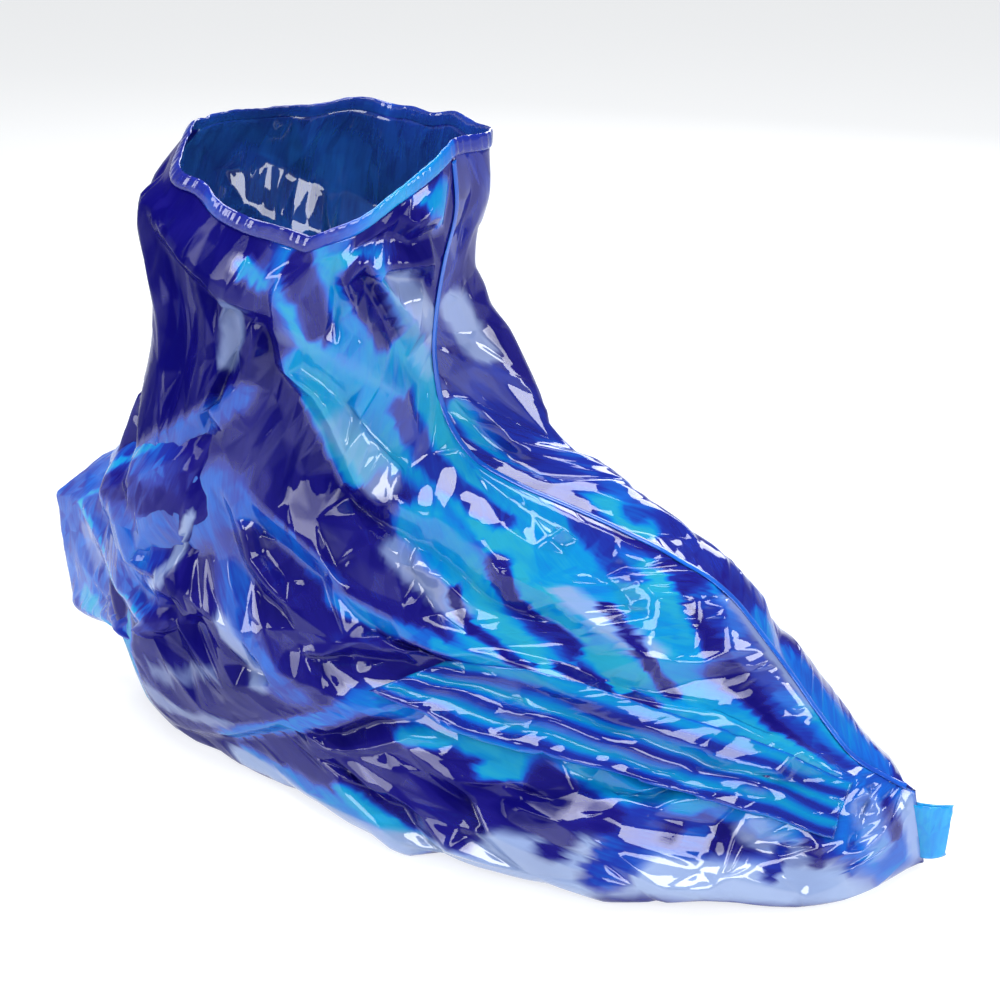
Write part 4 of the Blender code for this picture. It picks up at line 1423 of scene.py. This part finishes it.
@dataclass
class WeldStrip:
    """A weld between the two panels: a flat strip with crimp ribs along it."""

    name: str
    node: str
    edge: int
    span: Pair
    width: float = 0.0046
    bead: float = 0.0006
    seat: float = 0.0004
    wall: float = 0.0004
    step: float = 0.0016
    columns: int = 7
    tone: float = 0.42
    ribbed: bool = True
    ripple: float = 0.00018
    least_girth: float = 0.02
    facing: int = 1

    def build(self, maps: Sides, finish: "FilmFinish") -> bpy.types.Object:
        """Builds the strip along both panels' edges.

        Args:
            maps: The two sides.
            finish: The strip's finish.

        Returns:
            The strip.
        """
        sheet = maps[Side.RIGHT]
        run = np.interp(self.span, sheet.rims, sheet.runs)
        downs = np.linspace(*run, round((run[1] - run[0]) / self.step))
        rims = np.interp(downs, sheet.runs, sheet.rims)
        girth = np.maximum(np.interp(rims, sheet.rims, sheet.girths), self.least_girth)
        top, bottom, outs = [], [], []
        for place in np.linspace(-0.5, 0.5, self.columns):
            side = Side.RIGHT if place < 0 else Side.LEFT
            inward = abs(place) * self.width / girth
            point, out = maps[side].at(inward if self.edge == 0 else 1 - inward, rims)
            out = out * self.facing
            lift = self.seat + self.bead * (1 - (2 * place) ** 2)
            ripple = self.ripple * np.sin(rims * 310 + place * 3) * np.sin(rims * 83)
            top.append(point + out * (lift + self.wall / 2 + ripple)[:, None])
            bottom.append(point + out * (lift - self.wall / 2 + ripple)[:, None])
            outs.append(out)
        ring = np.stack(top + bottom[::-1], 1)
        count = ring.shape[1]
        faces = strip_faces(len(rims), count, closed=True).tolist()
        last = (len(rims) - 1) * count
        faces += [list(range(count)), [last + k for k in range(count)][::-1]]
        material = finish.material()
        piece = film_object(self.name, ring.reshape(-1, 3), faces, material, 0.0)
        outward_faces(piece)
        if self.ribbed:
            half = self.columns // 2
            joined(piece, WeldRibs().mesh(top[half], unit(outs[half] + outs[half - 1]), material))
        points = np.array([vertex.co[:] for vertex in piece.data.vertices])
        store_map(piece, points[:, [0, 1]])
        store_tone(piece, np.full(len(points), self.tone))
        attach(piece, BODY)
        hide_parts(self.node)
        LOG.info("%s: %d faces", self.name, len(piece.data.polygons))
        return piece


def joined(piece: bpy.types.Object, extra: bpy.types.Mesh) -> None:
    """Adds another mesh's faces to a piece."""
    mesh = bmesh.new()
    mesh.from_mesh(piece.data)
    mesh.from_mesh(extra)
    mesh.to_mesh(piece.data)
    mesh.free()
    piece.data.shade_smooth()


@dataclass
class HeelFlap(CrumpledSheet):
    """The bag's back corner: two layers drawn out behind the heel, joined at the outer edge.

    The outline is pairs of height and reach, as shares, from the flap's foot to its top. The inner
    edge is where the near layer leaves the panel, by its places in the picture.
    """

    name: str = "heel_flap"
    node: str = "heel_corner"
    seed: int = 31
    hidden: tuple[Fold, ...] = tuple(HEEL_CREASES.values())
    patches: tuple[Stroke, ...] = HEEL_PATCHES
    coarse_gap: float = 0.016
    fine_gap: float = 0.0080
    rim_quiet: float = 0.010
    toe_quiet: float = 0.010
    edge_quiet: float = 0.012
    coarse_lift: float = 0.5
    fine_lift: float = 0.16
    uneven_tone: float = 0.10
    base_tone: float = 0.50
    inner_tone: float | None = 0.14
    rests_on: tuple[str, ...] = PANELS
    slot: str = "corner"
    span: Pair = (0.290, 0.450)
    reach: float = 0.046
    least_reach: float = 0.0025
    outline: tuple[Pair, ...] = (
        (0.0, 0.08), (0.06, 0.70), (0.12, 1.0), (0.20, 0.84), (0.40, 0.88), (0.62, 0.96),
        (0.78, 0.58), (1.0, 0.06),
    )
    inner: tuple[Pair, ...] = (
        (165, 640), (196, 622), (214, 600), (220, 575), (222, 540), (222, 500), (222, 455),
        (216, 430),
    )
    rows: int = 44
    near_steps: int = 34
    far_steps: int = 18
    columns: int = 64
    under: float = -0.0010
    near_sag: float = 0.004
    near_rise: float = 0.0022
    near_fade: float = 0.22
    end_fade: float = 0.10
    far_sag: float = 0.002
    far_rise: float = 0.0016
    far_fade: float = 0.3
    far_hold: float = 0.10
    clear_reach: float = 0.05

    def held_at(self, sheet: SheetMap, loop: float, rim: float, film: FilmSurface) -> Array:
        """Returns a place on a panel, a little under its film."""
        place, out = sheet.at(loop, rim)
        return film.raised(place[None], out[None], self.under)[0]

    @staticmethod
    def layer(start: Array, end: Array, steps: int, sag: Array) -> Array:
        """Returns a line of points from start to end, with a sag across its middle."""
        share = np.linspace(0, 1, steps)[:, None]
        return start * (1 - share) + end * share + np.sin(share * math.pi) * sag

    def form(self, maps: Sides, chart: PictureChart, film: FilmSurface) -> SheetMap:
        """Lays out both layers from the near panel round the tip to the far panel.

        Args:
            maps: The two sides.
            chart: Finds the places in the picture.
            film: The panels' surface.

        Returns:
            The flap's smooth form.
        """
        near, far = maps[Side.RIGHT], maps[Side.LEFT]
        heights = np.linspace(0, 1, self.rows)
        inner = np.array([chart.find(x, y)[1:] for x, y in self.inner])
        inner = evenly(curve_through(inner, 6), self.rows - 1)
        rims = self.span[1] + (self.span[0] - self.span[1]) * heights
        root, _ = near.at(np.ones_like(rims), rims)
        root[:, 0] = 0.0
        along = np.gradient(root, axis=0)
        away = unit(np.column_stack([np.zeros(self.rows), along[:, 2], -along[:, 1]]))
        away *= np.sign(away[:, 1].mean())
        reach = np.interp(heights, *np.array(self.outline).T) * self.reach
        there = np.linspace(0, 1, self.near_steps)
        back = np.linspace(0, 1, self.far_steps)[1:]
        rows = []
        for k, rim in enumerate(rims):
            loop_in, rim_in = inner[k]
            tip = root[k] + away[k] * (self.least_reach + reach[k])
            start = self.held_at(near, loop_in, rim_in, film)
            first = self.layer(start, tip, self.near_steps, NEAR * self.near_sag)
            _, out = near.at(loop_in + (1 - loop_in) * there, rim_in + (rim - rim_in) * there)
            ends = float(ramp(min(heights[k], 1 - heights[k]) / self.end_fade))
            rise = self.under + self.near_rise * np.minimum(ramp(there / self.near_fade), ends)
            first = film.clear(first, out, rise, self.clear_reach)
            end = self.held_at(far, 1 - self.far_hold, rim, film)
            second = self.layer(tip, end, self.far_steps, NEAR * -self.far_sag)[1:]
            _, out = far.at(1 - self.far_hold * back, np.full(len(back), rim))
            rise = self.under + self.far_rise * ramp((1 - back) / self.far_fade)
            rows.append(np.vstack([first, film.clear(second, out, rise, self.clear_reach)]))
        return near_sheet(rows, self.columns, 20, 10)


@dataclass
class ToeFlap(CrumpledSheet):
    """The bag's toe corner: a small flap of two layers ahead of the toe."""

    name: str = "toe_flap"
    node: str = "toe_corner"
    seed: int = 37
    coarse_gap: float = 0.010
    fine_gap: float = 0.0045
    rim_quiet: float = 0.003
    toe_quiet: float = 0.003
    edge_quiet: float = 0.004
    coarse_lift: float = 0.35
    fine_lift: float = 0.12
    base_tone: float = 0.82
    rests_on: tuple[str, ...] = PANELS
    slot: str = "corner"
    height: float = 0.030
    reach: float = 0.016
    sunk: float = 0.12
    bend: float = 0.006
    outline: tuple[Pair, ...] = ((0.10, 0.60), (0.40, 0.73), (0.70, 0.87), (1.0, 1.0))
    puff: float = 0.0016
    rows: int = 24
    layer_steps: int = 20
    columns: int = 44

    def form(self, maps: Sides) -> SheetMap:
        """Lays out both layers from the near root round the tip to the far root.

        Args:
            maps: The two sides.

        Returns:
            The flap's smooth form.
        """
        edge, _ = maps[Side.RIGHT].at(np.array([0.0, 1.0]), np.array([1.0, 1.0]))
        top, bottom = edge * (0.0, 1.0, 1.0)
        upward = unit(top - bottom)
        steps = self.layer_steps
        out = np.linspace(-self.sunk, 1, steps), np.linspace(1, -self.sunk, steps)[1:]
        out = np.concatenate(out)
        near = np.sqrt(1 - np.linspace(0, 1, steps) ** 3)
        far = np.sqrt(1 - np.linspace(1, 0, steps)[1:] ** 3)
        bent = self.bend * np.maximum(out, 0) ** 2 + np.concatenate([-near, far]) * self.puff
        heights, reaches = np.array(self.outline).T
        rows = []
        for share in np.linspace(0.0, 1.0, self.rows):
            height = heights[0] + (heights[-1] - heights[0]) * share
            reach = np.interp(height, heights, reaches) * self.reach
            root = bottom + upward * height * self.height
            rows.append(np.column_stack([bent, root[1] - out * reach, np.full(len(out), root[2])]))
        return near_sheet(rows, self.columns, 12, 8)


@dataclass
class SidePleat(CrumpledSheet):
    """The loose fold of film along the near side: it stands off at its lower edge and turns under.

    The route is the share down from the rim, and the shares round the loop of both its edges.
    """

    name: str = "pleat_film"
    node: str = "side_pleat"
    seed: int = 41
    hidden: tuple[Fold, ...] = tuple(PLEAT_CREASES.values())
    coarse_gap: float = 0.014
    fine_gap: float = 0.0070
    stretch: float = 3.0
    rim_quiet: float = 0.006
    toe_quiet: float = 0.006
    edge_quiet: float = 0.008
    coarse_lift: float = 0.4
    fine_lift: float = 0.05
    facet_share: float = 0.0
    uneven_tone: float = 0.0
    base_tone: float = 0.58
    banding: float = 0.26
    bands: float = 8.6
    rests_on: tuple[str, ...] = PANELS[:1]
    slot: str = "pleat"
    route: tuple[Triple, ...] = (
        (0.565, 0.330, 0.430),
        (0.650, 0.270, 0.430),
        (0.720, 0.230, 0.380),
        (0.780, 0.190, 0.345),
        (0.850, 0.150, 0.335),
        (0.910, 0.110, 0.340),
    )
    rows: int = 60
    over_steps: int = 26
    under_steps: int = 10
    columns: int = 70
    lift: float = 0.0065
    end_lift: float = 0.25
    end_fade: float = 0.35
    seat: float = 0.0005
    swell: float = 1.2
    turned: float = 0.35
    under_seat: float = 0.0006
    under_drop: float = 0.0012

    def form(self, sheet: SheetMap, film: FilmSurface) -> SheetMap:
        """Lays out the fold on the near panel.

        Args:
            sheet: The near side.
            film: The panels' surface.

        Returns:
            The fold's smooth form.
        """
        rows = []
        route = evenly(curve_through(self.route, 8), self.rows)
        share = np.linspace(0, 1, self.over_steps)
        back = np.linspace(1, 1 - self.turned, self.under_steps)[1:]
        drop = np.clip((back - 1 + self.turned) / self.turned, 0, 1) ** 2
        for (rim, upper, lower), onward in zip(route, np.linspace(0, 1, len(route))):
            full = self.end_lift + (1 - self.end_lift) * float(ramp((1 - onward) / self.end_fade))
            height = self.lift * full
            place, out = sheet.at(upper + (lower - upper) * share, np.full(len(share), rim))
            over = film.raised(place, out, self.seat + height * share**self.swell)
            place, out = sheet.at(upper + (lower - upper) * back, np.full(len(back), rim))
            rise = self.under_seat + (height - self.under_drop) * drop
            rows.append(np.vstack([over, film.raised(place, out, rise)]))
        return near_sheet(rows, self.columns, 30, 20)


def film_object(
    name: str, points: Array, faces: Iterable, material: bpy.types.Material, wall: float
) -> bpy.types.Object:
    """Makes a piece and, if it has a wall, gives it that.

    Args:
        name: The piece's name.
        points: The outer face's points.
        faces: The outer face's polygons.
        material: The piece's material.
        wall: The wall's thickness, inwards.

    Returns:
        The object.
    """
    mesh = bpy.data.meshes.new(name)
    mesh.from_pydata(np.asarray(points).tolist(), [], [list(face) for face in faces])
    mesh.materials.append(material)
    mesh.shade_smooth()
    piece = bpy.data.objects.new(name, mesh)
    bpy.context.scene.collection.objects.link(piece)
    if wall > 0:
        solidify = piece.modifiers.new("film_wall", "SOLIDIFY")
        solidify.thickness = wall
        solidify.offset = -1.0
    return piece


def store_tone(piece: bpy.types.Object, tones: Array, name: str = TONE) -> None:
    """Stores the tone, or the painted reflection, of each point on the piece."""
    layer = piece.data.attributes.new(name, "FLOAT", "POINT")
    layer.data.foreach_set("value", np.asarray(tones, np.float32))


def store_map(piece: bpy.types.Object, flat: Array, scale: float = 2.0) -> None:
    """Stores the flat places as the piece's map."""
    corners = np.empty(len(piece.data.loops), np.int32)
    piece.data.loops.foreach_get("vertex_index", corners)
    layer = piece.data.uv_layers.new(name="film_map")
    layer.data.foreach_set("uv", (flat[corners] * scale).astype(np.float32).ravel())


def strip_faces(rows: int, columns: int, closed: bool = False, tube: bool = False) -> Array:
    """Numbers the quads of a grid of points.

    Args:
        rows: The grid's rows.
        columns: The grid's columns.
        closed: Whether the last column joins the first.
        tube: Whether the last row joins the first.

    Returns:
        The quads.
    """
    counts = (rows if tube else rows - 1, columns if closed else columns - 1)
    i, j = (numbers.ravel() for numbers in np.meshgrid(*(np.arange(count) for count in counts)))
    below, beside = (i + 1) % rows, (j + 1) % columns
    quads = (i * columns + j, i * columns + beside, below * columns + beside, below * columns + j)
    return np.stack(quads, 1)


class Signal:
    """A number in a material. Python's operators on it add Math nodes."""

    def __init__(self, graph: "Graph", socket: bpy.types.NodeSocket) -> None:
        """Wraps a socket of the graph."""
        self.graph = graph
        self.socket = socket

    def __add__(self, other: Any) -> "Signal":
        """Adds."""
        return self.graph.math("ADD", self, other)

    __radd__ = __add__

    def __mul__(self, other: Any) -> "Signal":
        """Multiplies."""
        return self.graph.math("MULTIPLY", self, other)

    __rmul__ = __mul__

    def __sub__(self, other: Any) -> "Signal":
        """Takes away."""
        return self.graph.math("SUBTRACT", self, other)

    def __rsub__(self, other: Any) -> "Signal":
        """Is taken away from a number."""
        return self.graph.math("SUBTRACT", other, self)


class Graph:
    """Builds the nodes of a material, of the world or of a Geometry Nodes group."""

    def __init__(self, tree: bpy.types.NodeTree) -> None:
        """Clears the tree, to build in it."""
        self.tree = tree
        self.tree.nodes.clear()

    def node(self, kind: str, settings: dict[str, Any], values: dict[Any, Any]) -> bpy.types.Node:
        """Adds one node.

        Args:
            kind: The node's type.
            settings: Its own settings, and a ramp's stops under the key stops.
            values: What its inputs get, by name or number: a value, a socket or a Signal.

        Returns:
            The node.
        """
        node = self.tree.nodes.new(kind)
        for key, value in settings.items():
            if key != "stops":
                setattr(node, key, value)
                continue
            elements = node.color_ramp.elements
            for k, (place, colour) in enumerate(value):
                element = elements[k] if k < 2 else elements.new(place)
                element.position = place
                element.color = (*colour, 1.0)
        for key, value in values.items():
            socket = node.inputs[key]
            if isinstance(value, Signal):
                self.tree.links.new(value.socket, socket)
            elif isinstance(value, bpy.types.NodeSocket):
                self.tree.links.new(value, socket)
            else:
                socket.default_value = value
        return node

    def math(self, operation: str, *values: Any) -> Signal:
        """Adds a Math node on these values."""
        node = self.node("ShaderNodeMath", {"operation": operation}, dict(enumerate(values)))
        return Signal(self, node.outputs[0])

    def mixed(self, share: Any, first: Any, second: Any) -> bpy.types.NodeSocket:
        """Mixes two colours by a share."""
        settings = {"data_type": "RGBA", "clamp_factor": True}
        return self.node("ShaderNodeMix", settings, {0: share, 6: first, 7: second}).outputs[2]

    def attribute(self, name: str) -> Signal:
        """Reads a number that is stored on the piece."""
        node = self.node("ShaderNodeAttribute", {"attribute_name": name}, {})
        return Signal(self, node.outputs["Fac"])

    def noise(self, vector: Any, scale: float, detail: float = 1.0) -> Signal:
        """Adds a Noise texture."""
        values = {"Vector": vector, "Scale": scale, "Detail": detail}
        return Signal(self, self.node("ShaderNodeTexNoise", {}, values).outputs[0])


def blank_material(name: str) -> bpy.types.Material:
    """Makes a material whose clear parts cast plain shadows, which keeps a render short."""
    material = bpy.data.materials.new(name)
    material.use_nodes = True
    material.use_transparent_shadow = False
    return material


# Colours by tone, from deep indigo to clear bright blue; the bright blue is painted light that
# comes through the layers of film.
FILM_STOPS = (
    (0.0, (0.004, 0.003, 0.120)),
    (0.18, (0.010, 0.007, 0.200)),
    (0.34, (0.012, 0.035, 0.420)),
    (0.48, (0.008, 0.165, 0.780)),
    (0.64, (0.004, 0.430, 0.930)),
    (0.80, (0.040, 0.720, 1.000)),
)


@dataclass(frozen=True)
class FilmFinish:
    """A finish of thin glossy film: clear tinted film mixed with glossy film, by tone and by
    painted reflection.

    The stops are the glossy film's colours by tone, whose clear bright blue end is painted light
    that comes through the film. The painted reflection colour is a lavender grey: reflections and
    highlights painted into the colour. Body is how far that film hides what is behind it at tone 0,
    and clearing is how much less it does so at tone 1. Scales are per metre of the Object
    coordinates, and streaks are drawn out along the sheet's own map.
    """

    name: str
    stops: tuple[tuple[float, Triple], ...] = FILM_STOPS
    stop_scale: float = 0.8
    tint: Triple = (0.22, 0.62, 0.95)
    sheen: Triple = (0.38, 0.48, 1.0)
    milky: Triple = (0.25, 0.34, 0.57)
    body: float = 0.90
    clearing: float = 0.50
    painted_reflection_body: float = 0.4
    haze: float = 0.14
    gloss: float = 3.4
    painted_reflection_gloss: float = 0.5
    dull: float = 0.06
    ior: float = 1.06
    coat_ior: float = 1.8
    coat_haze: float = 0.02
    creases: float = 0.22
    crease_depth: float = 0.0004
    variation: float = 0.30
    cloud_scale: float = 30.0
    fine_scale: float = 420.0
    streak_scale: float = 6.0
    streak_stretch: Triple = (60.0, 7.0, 1.0)

    def material(self) -> bpy.types.Material:
        """Builds the film's material.

        Returns:
            The material.
        """
        material = blank_material(self.name)
        graph = Graph(material.node_tree)
        places = graph.node("ShaderNodeTexCoord", {}, {}).outputs
        tone, milk = (graph.attribute(name) for name in (TONE, PAINTED_REFLECTION))
        cloud = graph.noise(places["Object"], self.cloud_scale)
        stretch = {"Vector": places["UV"], "Scale": self.streak_stretch}
        drawn = graph.node("ShaderNodeMapping", {}, stretch).outputs[0]
        streaks = graph.noise(drawn, self.streak_scale)
        shade = tone + (cloud - 0.5) * self.variation + (streaks - 0.5) * (self.variation * 0.5)
        stops = {"stops": self.stops}
        blues = graph.node("ShaderNodeValToRGB", stops, {"Fac": shade * self.stop_scale}).outputs[0]
        colour = graph.mixed(milk * (cloud * 0.5 + 0.75), blues, (*self.milky, 1.0))
        fine = graph.noise(places["Object"], self.fine_scale)
        relief = {
            "Strength": self.creases,
            "Distance": self.crease_depth,
            "Height": fine * 0.05 + streaks * 0.2,
        }
        bump = graph.node("ShaderNodeBump", {}, relief).outputs[0]
        coat = tone * self.gloss + milk * self.painted_reflection_gloss - self.dull
        film = {
            "Base Color": colour,
            "Roughness": self.haze + (cloud - 0.5) * 0.12 + fine * 0.03,
            "IOR": self.ior,
            "Specular Tint": (*self.sheen, 1.0),
            "Coat Weight": graph.math("MINIMUM", coat, 1.0),
            "Coat Roughness": self.coat_haze,
            "Coat IOR": self.coat_ior,
            "Normal": bump,
        }
        surface = graph.node("ShaderNodeBsdfPrincipled", {}, film).outputs[0]
        clear = graph.node("ShaderNodeBsdfTransparent", {}, {"Color": (*self.tint, 1.0)}).outputs[0]
        hides = self.body - shade * self.clearing + milk * self.painted_reflection_body
        mix = graph.node("ShaderNodeMixShader", {}, {0: hides, 1: clear, 2: surface}).outputs[0]
        graph.node("ShaderNodeOutputMaterial", {}, {"Surface": mix})
        return material


PANEL_FILM = FilmFinish("panel_film")
HEM_FILM = FilmFinish("hem_film", body=0.86, clearing=0.36)
WELD_FILM = FilmFinish("weld_film", body=0.85, clearing=0.20, haze=0.24, creases=0.2)
CORNER_FILM = FilmFinish("corner_film", body=0.92, clearing=0.40, gloss=1.3)
PLEAT_FILM = FilmFinish("pleat_film", body=0.78, clearing=0.46)


WELDS = (
    WeldStrip(
        "front_weld", "front_seam", 0, (0.004, 0.985),
        width=0.0026, bead=0.0003, tone=0.55, ribbed=False, ripple=0.0,
    ),
    WeldStrip("back_weld", "back_seam", 1, (0.004, 0.50)),
    WeldStrip("sole_weld", "sole_seam", 1, (0.56, 0.94), width=0.0070, seat=0.0010, facing=-1),
)


@dataclass
class Studio:
    """The pale floor and the soft lights.

    A box is its name, its place, its width and height, and its watts. The sky's stops are pairs of
    how far up they are and how bright.
    """

    floor_reach: float = 9.0
    floor_drop: float = 0.0002
    floor_colour: Triple = (0.36, 0.37, 0.38)
    floor_glow: Triple = (0.74, 0.75, 0.76)
    sky: tuple[Pair, ...] = (
        (0.0, 0.80), (0.05, 0.80), (0.13, 0.22), (0.50, 0.13), (1.0, 0.13)
    )
    sky_blue: float = 1.03
    aim: Triple = (0.0, 0.0, 0.1)
    boxes: tuple[tuple[str, Triple, Pair, float], ...] = (
        ("overhead_box", (0.10, 0.25, 1.50), (1.30, 0.90), 28.0),
        ("key_box", (-1.10, -1.00, 1.00), (0.80, 0.80), 14.0),
        ("toe_box", (-0.10, -1.60, 0.60), (0.70, 0.50), 9.0),
        ("back_box", (-1.10, 0.95, 0.65), (0.50, 0.90), 9.0),
        ("far_box", (1.30, 0.10, 0.80), (0.90, 0.60), 13.0),
    )
    bounces: tuple[tuple[str, int], ...] = (
        ("transparent_max_bounces", 16),
        ("max_bounces", 6),
        ("diffuse_bounces", 2),
        ("glossy_bounces", 3),
    )

    def make_floor(self) -> None:
        """Lays the pale floor."""
        reach, level = self.floor_reach, FLOOR_HEIGHT - self.floor_drop
        signs = ((-1, -1), (1, -1), (1, 1), (-1, 1))
        corners = np.array([(reach * x, reach * y, level) for x, y in signs])
        material = blank_material("pale_floor")
        graph = Graph(material.node_tree)
        values = {
            "Base Color": (*self.floor_colour, 1.0),
            "Roughness": 0.8,
            "Specular IOR Level": 0.1,
            "Emission Color": (*self.floor_glow, 1.0),
            "Emission Strength": 1.0,
        }
        surface = graph.node("ShaderNodeBsdfPrincipled", {}, values).outputs[0]
        graph.node("ShaderNodeOutputMaterial", {}, {"Surface": surface})
        film_object("floor", corners, [(0, 1, 2, 3)], material, 0.0)

    def make_world(self) -> None:
        """Lights the room: pale at the horizon and darker above."""
        world = bpy.data.worlds.new("studio")
        world.use_nodes = True
        graph = Graph(world.node_tree)
        places = graph.node("ShaderNodeTexCoord", {}, {}).outputs["Generated"]
        up = graph.node("ShaderNodeSeparateXYZ", {}, {0: places}).outputs["Z"]
        stops = [(place, (level, level, level * self.sky_blue)) for place, level in self.sky]
        fade = graph.node("ShaderNodeValToRGB", {"stops": stops}, {0: up}).outputs[0]
        back = graph.node("ShaderNodeBackground", {}, {"Color": fade}).outputs[0]
        graph.node("ShaderNodeOutputWorld", {}, {"Surface": back})
        bpy.context.scene.world = world

    def add_box(
        self, name: str, place: Sequence[float], size: Sequence[float], watts: float
    ) -> None:
        """Adds one softbox.

        Args:
            name: The light's name.
            place: Where it stands.
            size: Its width and height.
            watts: Its power.
        """
        data = bpy.data.lights.new(name, "AREA")
        data.shape = "RECTANGLE"
        data.size, data.size_y = size
        data.energy = watts
        light = bpy.data.objects.new(name, data)
        light.location = Vector(place)
        towards = Vector(self.aim) - Vector(place)
        light.rotation_euler = towards.to_track_quat("-Z", "Y").to_euler()
        bpy.context.scene.collection.objects.link(light)

    def make(self) -> None:
        """Builds the whole studio."""
        self.make_floor()
        self.make_world()
        for box in self.boxes:
            self.add_box(*box)
        scene = bpy.context.scene
        scene.view_settings.view_transform = "Standard"
        for setting, count in self.bounces:
            setattr(scene.cycles, setting, count)


def main() -> None:
    """Builds the cover piece by piece and reports each one."""
    logging.basicConfig(level=logging.INFO, format="%(name)s: %(message)s")
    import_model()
    camera = StudioCamera()
    camera.make()
    Studio().make()
    form = CoverForm()
    maps = {side: SheetMap(form.grid(side), -side.value) for side in Side}
    chart = PictureChart(camera, list(maps.values()))
    folds = tuple(CREASES.values())
    panels = []
    for side, name, node, seed, tone in (
        (Side.RIGHT, PANELS[0], "right_panel", 11, 0.16),
        (Side.LEFT, PANELS[1], "left_panel", 23, 0.30),
    ):
        hidden = tuple(HIDDEN_CREASES[side].values())
        panel = FilmPanel(name, node, seed, folds, hidden, STROKES, base_tone=tone, side=side)
        panels.append(panel.build(maps[side], chart, PANEL_FILM))
    film = FilmSurface(panels)
    CollarHem().build(maps, HEM_FILM)
    for weld in WELDS:
        weld.build(maps, WELD_FILM)
    heel, toe, pleat = HeelFlap(), ToeFlap(), SidePleat()
    heel.build(heel.form(maps, chart, film), chart, CORNER_FILM)
    toe.build(toe.form(maps), chart, CORNER_FILM)
    pleat.build(pleat.form(maps[Side.RIGHT], film), chart, PLEAT_FILM)


if __name__ == "__main__":
    main()
